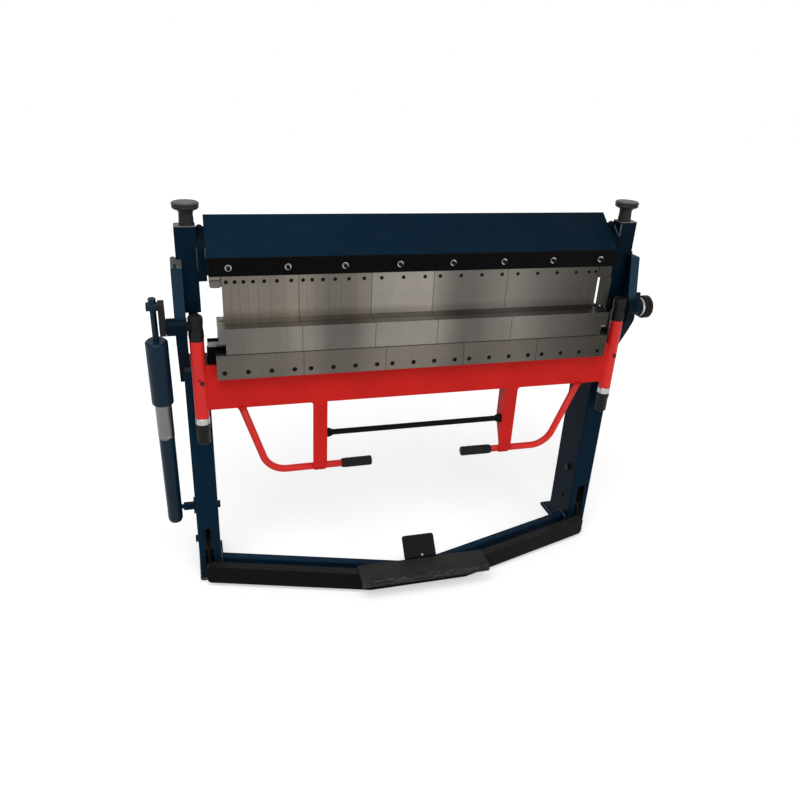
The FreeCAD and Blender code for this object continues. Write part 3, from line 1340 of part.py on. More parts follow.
def lean_on_crank(made):
    rise = k.fold_height + k.crank_radius - k.balancer_foot
    tilt = k.axle_back.angle_over(rise)
    made.Placement = Placement(
        Vector(-k.balancer_side.value, k.axle_back.value, k.balancer_foot.value),
        Rotation(Vector(1, 0, 0), tilt.value))
    made.setExpression("Placement.Base.x", (-k.balancer_side).text)
    made.setExpression("Placement.Base.y", k.axle_back.text)
    made.setExpression("Placement.Base.z", k.balancer_foot.text)
    made.setExpression("Placement.Rotation.Angle", tilt.text)


def make_balancer():
    """Spring balancer: lower tube, bare sleeve, and an upper tube that slides over it."""
    rise = k.fold_height + k.crank_radius - k.balancer_foot
    reach = (rise * rise + k.axle_back * k.axle_back).root()
    tip, step, wide = k.balancer_tip, k.balancer_step, k.balancer_radius
    lower = new_body("balancer_tube")
    turned(lower, "tube", [(0.0, tip), (wide - 12.0, tip), (wide - 3.0, tip + 6.0),
                           (wide, tip + 16.0), (wide, step), (0.0, step)])
    prism(lower, "eye", "YZ_Plane", [(0.0, 0.0, k.bolt_radius + k.shaft_gap)], -wide - 1.0,
          wide + 1.0, cut=True)
    lean_on_crank(lower)

    sleeve = new_body("balancer_sleeve")
    bare = k.bare_radius
    turned(sleeve, "sleeve", [(0.0, step), (bare, step), (bare, k.balancer_bare_end),
                              (0.0, k.balancer_bare_end)])
    lean_on_crank(sleeve)

    head = new_body("balancer_head")
    low, high = k.balancer_cover, k.balancer_head_top
    inner, outer = bare + k.shaft_gap, k.balancer_head_radius
    turned(head, "upper_tube", [(inner, low), (outer, low), (outer, high - 6.0),
                                (outer - 6.0, high), (0.0, high), (0.0, high - 8.0),
                                (inner, high - 8.0)])
    eye, nut = k.balancer_eye, k.balancer_nut
    prism(head, "stem", "XY_Plane", [(0.0, 0.0, 9.0)], high - 4.0, reach)
    prism(head, "swivel", "YZ_Plane", [(0.0, reach, eye)], -18.0, k.balancer_past - 17.5)
    prism(head, "nut", "XY_Plane", [hexagon(0.0, 0.0, nut)], reach, reach + eye + 13.0)
    prism(head, "swivel_bore", "YZ_Plane", [(0.0, reach, 7.0)], -12.0, k.balancer_past, cut=True)
    lean_on_crank(head)

    pin = new_body("balancer_pin")
    prism(pin, "pin", "YZ_Plane", [(0.0, reach, 7.0)], -12.0,
          k.balancer_past - k.crank_thick - k.running_gap)
    lean_on_crank(pin)


make_balancer()


# Pedal

def make_pedal_bar():
    """V-shaped pedal bar, straight in the middle, with the two arms that turn on the axles."""
    made = new_body("pedal_bar")
    half, flat, thick = k.pedal_half, k.pedal_flat, k.pedal_thick
    end, mid = k.pedal_end_back, k.pedal_mid_back
    outline = [(-half, end), (-flat, mid), (flat, mid), (half, end), (half, end - thick),
               (flat, mid - thick), (-flat, mid - thick), (-half, end - thick)]
    prism(made, "bar", "XY_Plane", [outline], k.pedal_bottom, k.pedal_top)
    reach = half.value
    dress(made, "end_corners", "Fillet", 13.0,
          lambda edge, middle: along(edge, 1) and near(abs(middle.x), reach))
    back, up = k.axle_back, k.axle_height
    pin_back, pin_height = back - k.drive_reach, up - k.drive_drop
    arm = [(end - thick + 2.0, k.pedal_bottom + 30.0), (end - 5.0, k.pedal_bottom + 30.0),
           (end - 2.0, k.slot_bottom + 5.0), (end + 12.0, k.slot_bottom + 8.0),
           (back + 12.0, up - 24.0), (back + 22.0, up), (back + 6.0, up + 20.0),
           (pin_back + 8.0, pin_height + 15.0), (pin_back - 10.0, pin_height + 12.0),
           (pin_back - 18.0, pin_height - 6.0), (end - 9.0, k.pedal_top),
           (end - thick + 2.0, k.pedal_top)]
    for side, name in SIDES:
        centre, thin = side * k.arm_side, side * (k.arm_thick / 2)
        prism(made, f"{name}_arm", "YZ_Plane", [arm], centre - thin, centre + thin)
        pin_half = side * (k.slot_width / 2 - 1.0)
        prism(made, f"{name}_drive_pin", "YZ_Plane", [(pin_back, pin_height, k.drive_pin_radius)],
              centre - pin_half, centre + pin_half)
        prism(made, f"{name}_axle_bore", "YZ_Plane", [(back, up, k.bolt_radius + k.shaft_gap)],
              centre - thin - side * 1.0, centre + thin + side * 1.0, cut=True)
    return made


make_pedal_bar()


def make_treadle():
    """Foot plate on the pedal bar: flat tread with a skirt along its front edge."""
    made = new_body("treadle")
    top, thick = k.pedal_top + k.treadle_thick, k.treadle_thick
    left, right, front, back = k.treadle_left, k.treadle_right, k.treadle_front, k.treadle_back
    prism(made, "tread", "XY_Plane", [rectangle(left, front, right, back)], k.pedal_top, top)
    skirt = rectangle(left, front, right, front + thick)
    prism(made, "skirt", "XY_Plane", [skirt], k.skirt_bottom, k.pedal_top + 1.0)
    edge_top, edge_front = top.value, front.value
    dress(made, "fold", "Fillet", 2.0,
          lambda edge, middle: along(edge, 0) and near(middle.z, edge_top)
          and near(middle.y, edge_front))
    return made


make_treadle()


def make_toe_plate():
    """Plate that leans back from the treadle's rear edge, with one small screw."""
    made = new_body("toe_plate")
    back, top = k.treadle_back, k.pedal_top + k.treadle_thick
    lean, rise, thick = k.toe_lean, k.toe_rise, k.toe_thick
    tall = (lean * lean + rise * rise).root()
    step_back, step_down = thick * rise / tall, thick * lean / tall
    under = k.treadle_thick
    foot = lean * (rise + under - step_down) / rise
    profile = [(back, top - under), (back, top), (back + lean, top + rise),
               (back + lean + step_back, top + rise - step_down),
               (back + lean + step_back - foot, top - under)]
    prism(made, "plate", "YZ_Plane", [profile], k.toe_left, k.toe_right)
    high = (top + rise).value - 3.0
    ends = (k.toe_left.value, k.toe_right.value)
    dress(made, "corners", "Fillet", 9.0,
          lambda edge, middle: not along(edge, 0) and middle.z > high
          and any(near(middle.x, x) for x in ends))
    screw = new_body("toe_screw")
    prism(screw, "head", "XZ_Plane", [(k.toe_right - 52.0, 10.0, 3.5)], -2.2, 0.0)
    tilt = lean.angle_over(rise)
    screw.Placement = Placement(Vector(0, back.value, top.value),
                                Rotation(Vector(-1, 0, 0), tilt.value))
    screw.setExpression("Placement.Base.y", back.text)
    screw.setExpression("Placement.Base.z", top.text)
    screw.setExpression("Placement.Rotation.Angle", tilt.text)


make_toe_plate()


# Check every object, then write each sub-part.

DOCUMENT.recompute()
failed = [item.Name for item in DOCUMENT.Objects
          if "Invalid" in item.State or "Error" in item.State]
if failed:
    raise RuntimeError("failed objects: " + ", ".join(failed))

bad = [made.Label for made in SUB_PARTS
       if made.Shape.isNull() or not made.Shape.isValid() or not made.Shape.Solids]
if bad:
    raise RuntimeError("bad shapes: " + ", ".join(bad))

os.makedirs("parts", exist_ok=True)
for made in SUB_PARTS:
    made.Shape.exportStep(f"parts/{made.Label}.step")
print(len(SUB_PARTS), "sub-parts")
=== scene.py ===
import json
import math

import bmesh
import bpy
from bpy.props import FloatProperty, FloatVectorProperty, IntProperty, PointerProperty
from bpy.types import Operator, Panel, PropertyGroup
from mathutils import Matrix, Vector, noise


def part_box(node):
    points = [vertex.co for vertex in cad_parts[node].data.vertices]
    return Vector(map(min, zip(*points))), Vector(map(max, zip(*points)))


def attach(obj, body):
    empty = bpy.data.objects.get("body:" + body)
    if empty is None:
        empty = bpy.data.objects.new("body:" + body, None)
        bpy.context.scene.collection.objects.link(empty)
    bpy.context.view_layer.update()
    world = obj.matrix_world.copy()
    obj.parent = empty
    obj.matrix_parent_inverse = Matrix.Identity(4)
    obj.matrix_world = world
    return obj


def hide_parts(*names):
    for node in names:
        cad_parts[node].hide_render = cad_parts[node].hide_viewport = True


bl_info = {
    "name": "Box and Pan Brake Finishes",
    "version": (1, 0, 0),
    "blender": (4, 5, 0),
    "location": "3D Viewport > Sidebar > Brake",
    "description": "Paints, grinds and details a folding machine on its fixed CAD frame",
    "category": "Object",
}

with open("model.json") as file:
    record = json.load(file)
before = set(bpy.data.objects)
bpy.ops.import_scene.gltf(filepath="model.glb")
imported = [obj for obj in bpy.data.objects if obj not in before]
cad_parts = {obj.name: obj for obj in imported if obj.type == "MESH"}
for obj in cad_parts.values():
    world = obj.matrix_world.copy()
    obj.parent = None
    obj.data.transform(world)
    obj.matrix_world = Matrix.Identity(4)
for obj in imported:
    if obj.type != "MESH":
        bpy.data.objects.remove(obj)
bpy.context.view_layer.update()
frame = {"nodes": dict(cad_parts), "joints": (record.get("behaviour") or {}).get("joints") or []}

MM = 0.001
SIDES = (-1, 1)

# The handles in millimetres. PIPE_DEPTH is where their level runs lie behind the fold line.
# From the middle of the machine: the top of a pipe, the corner that its bend rounds off, its
# end, and the grip's mouth and end, followed by the height of that end.
PIPE_DEPTH = 6.8
HANDLES = {
    -1: {"top": 575.5, "corner": 497.0, "end": 160.0, "grip": (256.0, 156.0, 447.2)},
    1: {"top": 581.0, "corner": 499.0, "end": 180.0, "grip": (284.0, 176.0, 447.6)},
}


# Sizes and colours that a user would change

class PaintSettings(PropertyGroup):
    """Colours and surface of the enamel."""

    navy: FloatVectorProperty(
        name="Navy", description="Enamel of the frame and the upper beam", subtype="COLOR",
        size=3, min=0.0, max=1.0, default=(0.0022, 0.0140, 0.0295))
    slate: FloatVectorProperty(
        name="Slate", description="Thinner, greyer coat on the side cheeks", subtype="COLOR",
        size=3, min=0.0, max=1.0, default=(0.0150, 0.0350, 0.0570))
    red: FloatVectorProperty(
        name="Red", description="Enamel of the leaf and its handles", subtype="COLOR",
        size=3, min=0.0, max=1.0, default=(0.6400, 0.0180, 0.0145))
    black: FloatVectorProperty(
        name="Black", description="Satin black of the pedal and the strips", subtype="COLOR",
        size=3, min=0.0, max=1.0, default=(0.0026, 0.0025, 0.0026))
    graphite: FloatVectorProperty(
        name="Graphite", description="Dark grey of the knobs", subtype="COLOR",
        size=3, min=0.0, max=1.0, default=(0.0620, 0.0600, 0.0560))
    shine: FloatProperty(
        name="Shine", description="How strongly the paint mirrors what is round it",
        min=0.0, max=1.0, default=0.028)
    peel_size: FloatProperty(
        name="Orange peel", description="Ripples per metre in sprayed enamel",
        min=10.0, max=2000.0, default=260.0)


class SteelSettings(PropertyGroup):
    """Colours of the bare metal."""

    jaw: FloatVectorProperty(
        name="Jaw steel", description="Ground, oiled steel of the narrow fingers",
        subtype="COLOR", size=3, min=0.0, max=1.0, default=(0.1720, 0.1540, 0.1290))
    blade: FloatVectorProperty(
        name="Blade steel", description="Greyer steel of the blades and the wide fingers",
        subtype="COLOR", size=3, min=0.0, max=1.0, default=(0.1640, 0.1510, 0.1340))
    bar: FloatVectorProperty(
        name="Bar steel", description="Browner steel of the clamp bars", subtype="COLOR",
        size=3, min=0.0, max=1.0, default=(0.1380, 0.1210, 0.1040))
    bright: FloatVectorProperty(
        name="Bright steel", description="Turned rings, washers and the bed rail",
        subtype="COLOR", size=3, min=0.0, max=1.0, default=(0.4300, 0.4280, 0.4250))
    bronze: FloatVectorProperty(
        name="Bronze", description="Bushes and wear strips", subtype="COLOR",
        size=3, min=0.0, max=1.0, default=(0.0550, 0.0420, 0.0260))


class WeldSettings(PropertyGroup):
    """Size of the weld beads."""

    width: FloatProperty(
        name="Bead", description="Half width of a weld bead", subtype="DISTANCE",
        min=0.0005, max=0.02, default=0.0036)
    ripple: FloatProperty(
        name="Ripple", description="Length of one ripple of a bead", subtype="DISTANCE",
        min=0.001, max=0.05, default=0.0060)


class HandleSettings(PropertyGroup):
    """Pipes and cross rod of the handles."""

    pipe: FloatProperty(
        name="Pipe", description="Radius of the handle pipes", subtype="DISTANCE",
        min=0.004, max=0.03, default=0.0118)
    bend: FloatProperty(
        name="Bend", description="Radius of the bend between the slope and the level run",
        subtype="DISTANCE", min=0.03, max=0.12, default=0.0800)
    rod: FloatProperty(
        name="Cross rod", description="Radius of the cross rod", subtype="DISTANCE",
        min=0.003, max=0.015, default=0.0094)
    rod_end: FloatProperty(
        name="Rod end", description="Radius of the cross rod's cone-shaped ends",
        subtype="DISTANCE", min=0.005, max=0.025, default=0.0155)


class GripSettings(PropertyGroup):
    """Size and ribs of the hand grips."""

    radius: FloatProperty(
        name="Radius", description="Outer radius of a rib", subtype="DISTANCE",
        min=0.012, max=0.03, default=0.0165)
    ribs: IntProperty(name="Ribs", description="Rings round one grip", min=0, max=40, default=9)
    depth: FloatProperty(
        name="Depth", description="Depth of the groove between two rings",
        subtype="DISTANCE", min=0.0, max=0.005, default=0.0012)


class StageSettings(PropertyGroup):
    """Camera, floor and lamps."""

    camera_place: FloatVectorProperty(
        name="Camera", description="Where the camera stands", subtype="TRANSLATION", size=3,
        unit="LENGTH", default=(-0.6882, -2.0666, 1.7124))
    heading: FloatProperty(
        name="Heading", description="Turn of the camera from straight back to the right",
        subtype="ANGLE", default=math.radians(16.81))
    dip: FloatProperty(
        name="Dip", description="How far the camera looks down", subtype="ANGLE",
        default=math.radians(25.76))
    roll: FloatProperty(
        name="Roll", description="Roll of the camera about its line of sight",
        subtype="ANGLE", default=math.radians(3.20))
    lens: FloatProperty(
        name="Lens", description="Focal length on a 36 mm sensor, in millimetres",
        min=10.0, max=200.0, default=32.6)
    floor_colour: FloatVectorProperty(
        name="Floor", description="Plain pale floor", subtype="COLOR", size=3, min=0.0,
        max=1.0, default=(0.93, 0.93, 0.93))
    glow_near: FloatProperty(
        name="Glow near", description="White added to the seen floor by the machine",
        min=0.0, max=1.0, default=0.50)
    glow_far: FloatProperty(
        name="Glow far", description="White added to the seen floor further out",
        min=0.0, max=1.0, default=0.66)
    key: FloatProperty(
        name="Key lamp", description="Power of the large lamp overhead", subtype="POWER",
        min=0.0, default=46.0)
    fill: FloatProperty(
        name="Fill lamp", description="Power of the lamp in front", subtype="POWER",
        min=0.0, default=14.0)
    sky: FloatProperty(
        name="Sky", description="Strength of the even light from all round", min=0.0,
        default=0.42)


# Shader boards

class Board:
    """A node tree that fills up from left to right."""

    def __init__(self, tree):
        self.tree = tree
        self.column = 0

    def add(self, kind, **settings):
        node = self.tree.nodes.new("ShaderNode" + kind)
        self.column += 1
        node.location = (self.column * 190.0, (self.column % 4) * -210.0)
        for name, value in settings.items():
            setattr(node, name, value)
        return node

    def put(self, socket, value):
        """Links a socket, or writes a plain number or colour on it."""
        if isinstance(value, bpy.types.NodeSocket):
            self.tree.links.new(value, socket)
        elif isinstance(value, (tuple, list)) and len(value) == 3 and socket.type == "RGBA":
            socket.default_value = (*value, 1.0)
        else:
            socket.default_value = value

    def fill(self, node, **values):
        """Puts a value on each named input; a name's underscore stands for a space."""
        for name, value in values.items():
            self.put(node.inputs[name.replace("_", " ")], value)
        return node

    def maths(self, operation, first, second=0.0, clamp=False):
        node = self.add("Math", operation=operation, use_clamp=clamp)
        self.put(node.inputs[0], first)
        self.put(node.inputs[1], second)
        return node.outputs[0]

    def times(self, first, second, clamp=False):
        return self.maths("MULTIPLY", first, second, clamp)

    def plus(self, first, second, clamp=False):
        return self.maths("ADD", first, second, clamp)

    def far_from(self, value, middle):
        """How far a number lies from another, whichever is the larger."""
        return self.maths("ABSOLUTE", self.maths("SUBTRACT", value, middle))

    def vectors(self, operation, first, second=(0.0, 0.0, 0.0)):
        node = self.add("VectorMath", operation=operation)
        self.put(node.inputs[0], first)
        self.put(node.inputs[1], second)
        return node.outputs

    def spread(self, value, low, high, bottom=0.0, top=1.0):
        """Carries low..high smoothly to bottom..top."""
        node = self.add("MapRange", interpolation_type="SMOOTHSTEP")
        self.fill(node, Value=value, From_Min=low, From_Max=high, To_Min=bottom, To_Max=top)
        return node.outputs["Result"]

    def ramp(self, value, low, high, bottom=0.0, top=1.0):
        """Carries low..high evenly to bottom..top, held at both ends."""
        node = self.add("MapRange")
        self.fill(node, Value=value, From_Min=low, From_Max=high, To_Min=bottom, To_Max=top)
        return node.outputs["Result"]

    def blend_number(self, share, first, second):
        node = self.add("Mix", data_type="FLOAT")
        for place, value in ((0, share), (2, first), (3, second)):
            self.put(node.inputs[place], value)
        return node.outputs[0]

    def blend(self, share, first, second):
        """Goes from the first colour to the second."""
        node = self.add("Mix", data_type="RGBA")
        for place, value in ((0, share), (6, first), (7, second)):
            self.put(node.inputs[place], value)
        return node.outputs[2]

    def shade(self, colour, amount):
        """A colour times a number."""
        node = self.fill(self.add("VectorMath", operation="SCALE"), Scale=amount)
        self.put(node.inputs[0], colour)
        return node.outputs[0]

    def place(self):
        """The point on the piece, in metres in the machine's own frame."""
        return self.add("TexCoord").outputs["Object"]

    def split(self, vector):
        """The X, Y and Z of a vector."""
        node = self.add("SeparateXYZ")
        self.put(node.inputs[0], vector)
        return node.outputs

    def facing(self, kind="Normal"):
        """The X, Y and Z of the way that the surface looks."""
        return self.split(self.add("NewGeometry").outputs[kind])

    def stretched(self, point, scale, turn=(0.0, 0.0, 0.0)):
        node = self.fill(self.add("Mapping"), Vector=point, Scale=scale, Rotation=turn)
        return node.outputs[0]

    def cloud(self, point, size, detail=2.0, rough=0.5):
        node = self.fill(self.add("TexNoise"), Vector=point, Scale=size, Detail=detail,
                         Roughness=rough)
        return node.outputs[0]

    def group(self, tree, **values):
        return self.fill(self.add("Group", node_tree=tree), **values).outputs


EFFECTS = {}


def effect(name, inputs, outputs, fill):
    """A node group with named sockets, built once and shared."""
    if name not in EFFECTS:
        tree = bpy.data.node_groups.new(name, "ShaderNodeTree")
        for direction, sockets in (("INPUT", inputs), ("OUTPUT", outputs)):
            for label, kind, *value in sockets:
                socket = tree.interface.new_socket(
                    name=label, in_out=direction, socket_type="NodeSocket" + kind)
                if value:
                    socket.default_value = value[0]
        board = Board(tree)
        entry = tree.nodes.new("NodeGroupInput")
        leaving = tree.nodes.new("NodeGroupOutput")
        for label, result in fill(board, entry.outputs).items():
            tree.links.new(result, leaving.inputs[label])
        leaving.location = ((board.column + 1) * 190.0, 0.0)
        EFFECTS[name] = tree
    return EFFECTS[name]


def worn_edges():
    """Rounds the look of edges and marks where they would rub bare."""
    def fill(board, given):
        bevel = board.fill(board.add("Bevel", samples=6), Radius=given["Radius"])
        rounded = bevel.outputs["Normal"]
        flat = board.add("NewGeometry").outputs["True Normal"]
        turn = board.vectors("DOT_PRODUCT", rounded, flat)["Value"]
        bend = board.spread(board.maths("SUBTRACT", 1.0, turn), 0.012, 0.16)
        patches = board.cloud(board.place(), given["Patch Size"], 4.0, 0.62)
        mask = board.times(bend, board.spread(patches, 0.36, 0.62), clamp=True)
        return {"Mask": mask, "Normal": rounded}
    return effect("Worn Edges", (("Radius", "Float", 0.0012), ("Patch Size", "Float", 45.0)),
                  (("Mask", "Float"), ("Normal", "Vector")), fill)


def orange_peel():
    """Soft ripples of sprayed enamel, with a finer grit in them."""
    def fill(board, given):
        here = board.place()
        soft = board.cloud(here, given["Size"], 1.0, 0.4)
        fine = board.cloud(here, board.times(given["Size"], 5.0), 2.0)
        return {"Height": board.plus(soft, board.times(fine, 0.22))}
    return effect("Orange Peel", (("Size", "Float", 260.0),), (("Height", "Float"),), fill)


def settled_dust():
    """Dust on what faces up, in patches and specks."""
    def fill(board, given):
        here = board.place()
        upward = board.spread(board.facing()["Z"], 0.55, 0.98)
        patches = board.spread(board.cloud(here, 34.0, 6.0, 0.66), 0.40, 0.70)
        specks = board.spread(board.cloud(here, 900.0, 2.0), 0.60, 0.72)
        both = board.plus(patches, board.times(specks, 0.6), clamp=True)
        return {"Mask": board.times(board.times(upward, both), given["Amount"], clamp=True)}
    return effect("Settled Dust", (("Amount", "Float", 0.3),), (("Mask", "Float"),), fill)


def ground_grain():
    """Fine parallel marks of grinding; Along squeezes the grain on each axis."""
    def fill(board, given):
        squeezed = board.vectors("MULTIPLY", board.place(), given["Along"])[0]
        fine = board.cloud(squeezed, 1.0, 3.0, 0.65)
        bands = board.cloud(board.shade(squeezed, 0.13), 1.0, 2.0, 0.5)
        streaks = board.plus(board.times(fine, 0.55), board.times(bands, 0.45))
        return {"Height": fine, "Streaks": streaks}
    return effect("Ground Grain", (("Along", "Vector", (900.0, 900.0, 12.0)),),
                  (("Height", "Float"), ("Streaks", "Float")), fill)


def row_tone():
    """Painted light along the fold line: a piece grows brighter or darker from the left over the
    middle to the right, as the lamps' reflection and fall-off make it, with soft upright bands of
    random tone in it.
    """
    row_end, left_of_middle, right_of_middle = 0.62, -0.08, 0.02

    def fill(board, given):
        across = board.split(board.place())["X"]
        rise = board.blend_number(board.ramp(across, -row_end, left_of_middle), given["Left"],
                                  given["Middle"])
        fall = board.blend_number(board.ramp(across, right_of_middle, row_end), rise,
                                  given["Right"])
        line = board.fill(board.add("CombineXYZ"), X=across).outputs[0]
        bands = board.spread(board.cloud(line, given["Band Size"], 2.0, 0.55), 0.30, 0.70,
                             -1.0, 1.0)
        wave = board.plus(board.times(bands, given["Band Depth"]), 1.0)
        return {"Factor": board.times(fall, wave)}
    return effect("Row Tone", (("Left", "Float", 1.0), ("Middle", "Float", 1.0),
                               ("Right", "Float", 1.0), ("Band Size", "Float", 14.0),
                               ("Band Depth", "Float", 0.05)), (("Factor", "Float"),), fill)


def row_waves():
    """Painted reflection: broad lighter and darker stretches of a bright room, mirrored in every
    steel row.
    """
    # Middle and half width of each stretch in metres along the row, and its share of the depth
    stretches = ((-0.390, 0.085, 0.45), (-0.268, 0.125, -1.0), (0.140, 0.135, -1.0),
                 (0.325, 0.110, 0.60))

    def fill(board, given):
        across = board.split(board.place())["X"]
        total = 1.0
        for middle, half, share in stretches:
            near = board.spread(board.far_from(across, middle), 0.0, half, 1.0, 0.0)
            soft = board.spread(near, 0.0, 1.0)
            total = board.plus(board.times(board.times(soft, share), given["Depth"]), total)
        return {"Factor": total}
    return effect("Row Waves", (("Depth", "Float", 0.3),), (("Factor", "Float"),), fill)


def seam_lines(label, seams):
    """Painted shade: dark upright lines in the gaps where the pieces of a row meet; seams are
    metres from the middle.

    Seams beside a broad piece gape and show their painted shade strongly, those between narrow
    ones faintly.
    """
    def fill(board, given):
        across = board.split(board.place())["X"]
        lines = 0.0
        for seam, strength in seams:
            line = board.spread(board.far_from(across, seam), 0.0004, given["Half Width"],
                                strength, 0.0)
            lines = board.maths("MAXIMUM", line, lines)
        return {"Mask": lines}
    return effect("Seam Lines " + label, (("Half Width", "Float", 0.0015),),
                  (("Mask", "Float"),), fill)


def fine_scratches():
    """Sparse thin scratches in two directions."""
    def fill(board, given):
        here = board.place()
        masks = []
        for turn, squeeze in ((0.5, (8.0, 160.0, 160.0)), (-0.9, (160.0, 160.0, 7.0))):
            drawn = board.stretched(here, squeeze, (turn, turn * 0.7, turn * 1.3))
            lines = board.cloud(drawn, given["Density"], 2.0, 0.7)
            masks.append(board.spread(lines, 0.655, 0.70))
        return {"Mask": board.maths("MAXIMUM", *masks)}
    return effect("Fine Scratches", (("Density", "Float", 3.0),), (("Mask", "Float"),), fill)


def knurl():
    """Straight ridges round an upright axis, and their depth."""
    def fill(board, given):
        away = board.split(board.vectors("SUBTRACT", board.place(), given["Axis"])[0])
        angle = board.maths("ARCTAN2", away["Y"], away["X"])
        wave = board.maths("SINE", board.times(angle, given["Ridges"]))
        return {"Height": board.times(board.plus(wave, 1.0), 0.5)}
    return effect("Knurl", (("Axis", "Vector", (0.0, 0.0, 0.0)), ("Ridges", "Float", 60.0)),
                  (("Height", "Float"),), fill)


def turning_marks():
    """Rings that a lathe leaves on a face square to an axis along Z."""
    rings_per_metre = 900.0

    def fill(board, given):
        away = board.vectors("SUBTRACT", board.place(), given["Axis"])[0]
        flat = board.vectors("MULTIPLY", away, (1.0, 1.0, 0.0))[0]
        far = board.vectors("LENGTH", flat)["Value"]
        line = board.fill(board.add("CombineXYZ"), X=board.times(far, rings_per_metre),
                          Y=board.times(board.split(away)["Z"], rings_per_metre))
        return {"Height": board.cloud(line.outputs[0], 1.0, 3.0, 0.6)}
    return effect("Turning Marks", (("Axis", "Vector", (0.0, 0.0, 0.0)),),
                  (("Height", "Float"),), fill)


# Finishes

def tinted(colour, factor):
    """A colour made lighter or darker."""
    return tuple(channel * factor for channel in colour)


def new_material(name):
    """A fresh node material with a Principled shader and a board to wire it."""
    material = bpy.data.materials.new(name)
    material.use_nodes = True
    tree = material.node_tree
    shader = tree.nodes["Principled BSDF"]
    shader.location = (4200.0, 0.0)
    tree.nodes["Material Output"].location = (4500.0, 0.0)
    return material, Board(tree), shader


def raise_bump(board, shader, height, distance, base):
    """Bumps of a depth in metres, on top of the rounded look of the edges."""
    bump = board.fill(board.add("Bump"), Height=height, Distance=distance, Normal=base,
                      Strength=1.0)
    board.put(shader.inputs["Normal"], bump.outputs["Normal"])


def along_the_row(board, tone, row, **bands):
    """Painted light: lets a tone change from the left over the middle to the right end of the
    machine, as the lamps' reflection and fall-off do.
    """
    left, middle, right = row
    factor = board.group(row_tone(), Left=left, Middle=middle, Right=right, **bands)["Factor"]
    return board.shade(tone, factor)


def coat_front(board, tone, coat, above):
    """Another coat on what faces the operator above a height: the cheeks' greyer coat, kept to
    faces that look forward as painted light.
    """
    forward = board.spread(board.times(board.facing()["Y"], -1.0), 0.4, 0.8)
    high = board.spread(board.split(board.place())["Z"], above - 0.014, above + 0.014)
    return board.blend(board.times(forward, high), tone, coat)


def placed_tone(board, tone, row=None, side_level=1.0, front_level=1.0, inside=None,
                front_coat=None):
    """Painted light and shade: lets paint change along the machine, darkens faces that look
    sideways or forward, and darkens the part near the middle.
    """
    if row is not None:
        tone = along_the_row(board, tone, row, Band_Depth=0.0)
    if front_coat is not None:
        tone = coat_front(board, tone, *front_coat)
    if side_level != 1.0:
        sideways = board.maths("ABSOLUTE", board.facing()["X"])
        tone = board.shade(tone, board.spread(sideways, 0.5, 0.9, 1.0, side_level))
    if front_level != 1.0:
        forward = board.times(board.facing()["Y"], -1.0)
        tone = board.shade(tone, board.spread(forward, 0.5, 0.9, 1.0, front_level))
    # Painted shade on what lies between the ends, such as the gussets beside the guide boxes.
    if inside is not None:
        across, level = inside
        away = board.maths("ABSOLUTE", board.split(board.place())["X"])
        near = board.maths("LESS_THAN", away, across)
        tone = board.shade(tone, board.blend_number(near, 1.0, level))
    return tone


def bare_top(board, shader, tone, over, bare):
    """Bare metal above a height, with a ragged lower edge."""
    here = board.place()
    ragged = board.plus(board.split(here)["Z"],
                        board.times(board.cloud(here, 60.0, 4.0), 0.003))
    rubbed = board.spread(ragged, over + 0.0012, over + 0.0024)
    board.put(shader.inputs["Metallic"], board.times(rubbed, 0.6))
    return board.blend(rubbed, tone, bare)


def blackened_ends(board, tone, across, height, black):
    """Black on both ends of a piece, above a height."""
    here = board.split(board.place())
    far = board.maths("GREATER_THAN", board.maths("ABSOLUTE", here["X"]), across)
    high = board.maths("GREATER_THAN", here["Z"], height)
    return board.blend(board.times(far, high), tone, black)


def enamel(name, colour, roughness=0.40, worn=(0.045, 0.055, 0.065), wear=0.30, dust=0.06,
           shine=None, radius=0.0014, peel_depth=0.00004, bare_over=None, black_ends=None,
           bare=(0.120, 0.125, 0.125), **places):
    """Sprayed paint: cloudy shade, orange peel, rubbed edges, dust, and bare metal on top."""
    paint = bpy.context.scene.brake_paint
    material, board, shader = new_material(name)
    clouds = board.cloud(board.place(), 5.0, 5.0, 0.6)
    tone = board.shade(colour, board.spread(clouds, 0.25, 0.75, 0.90, 1.12))
    # Painted light and shade: along the machine, on faces that look sideways or forward, and near
    # the middle.
    tone = placed_tone(board, tone, **places)
    edges = board.group(worn_edges(), Radius=radius, Patch_Size=48.0)
    tone = board.blend(board.times(edges["Mask"], wear), tone, worn)
    scratches = board.group(fine_scratches(), Density=2.6)
    tone = board.blend(board.times(scratches["Mask"], 0.10), tone, worn)
    lying = board.group(settled_dust(), Amount=dust)["Mask"]
    tone = board.blend(lying, tone, (0.060, 0.058, 0.054))
    if bare_over is not None:
        tone = bare_top(board, shader, tone, bare_over, bare)
    if black_ends is not None:
        tone = blackened_ends(board, tone, *black_ends)
    rough = board.spread(clouds, 0.2, 0.8, roughness - 0.05, roughness + 0.07)
    board.fill(shader, Base_Color=tone,
               Roughness=board.plus(rough, board.times(lying, 0.4), clamp=True))
    shader.inputs["Specular IOR Level"].default_value = paint.shine if shine is None else shine
    peel = board.group(orange_peel(), Size=paint.peel_size)
    raise_bump(board, shader, peel["Height"], peel_depth, edges["Normal"])
    return material


def dark_joint(board, tone, height, lower_level):
    """A dark level line where one piece sits on another, and another tone under it."""
    below = board.maths("SUBTRACT", height, board.split(board.place())["Z"])
    line = board.spread(board.maths("ABSOLUTE", below), 0.0010, 0.0026, 0.30, 1.0)
    step = board.spread(below, -0.001, 0.001, 1.0, lower_level)
    return board.shade(tone, board.times(line, step))


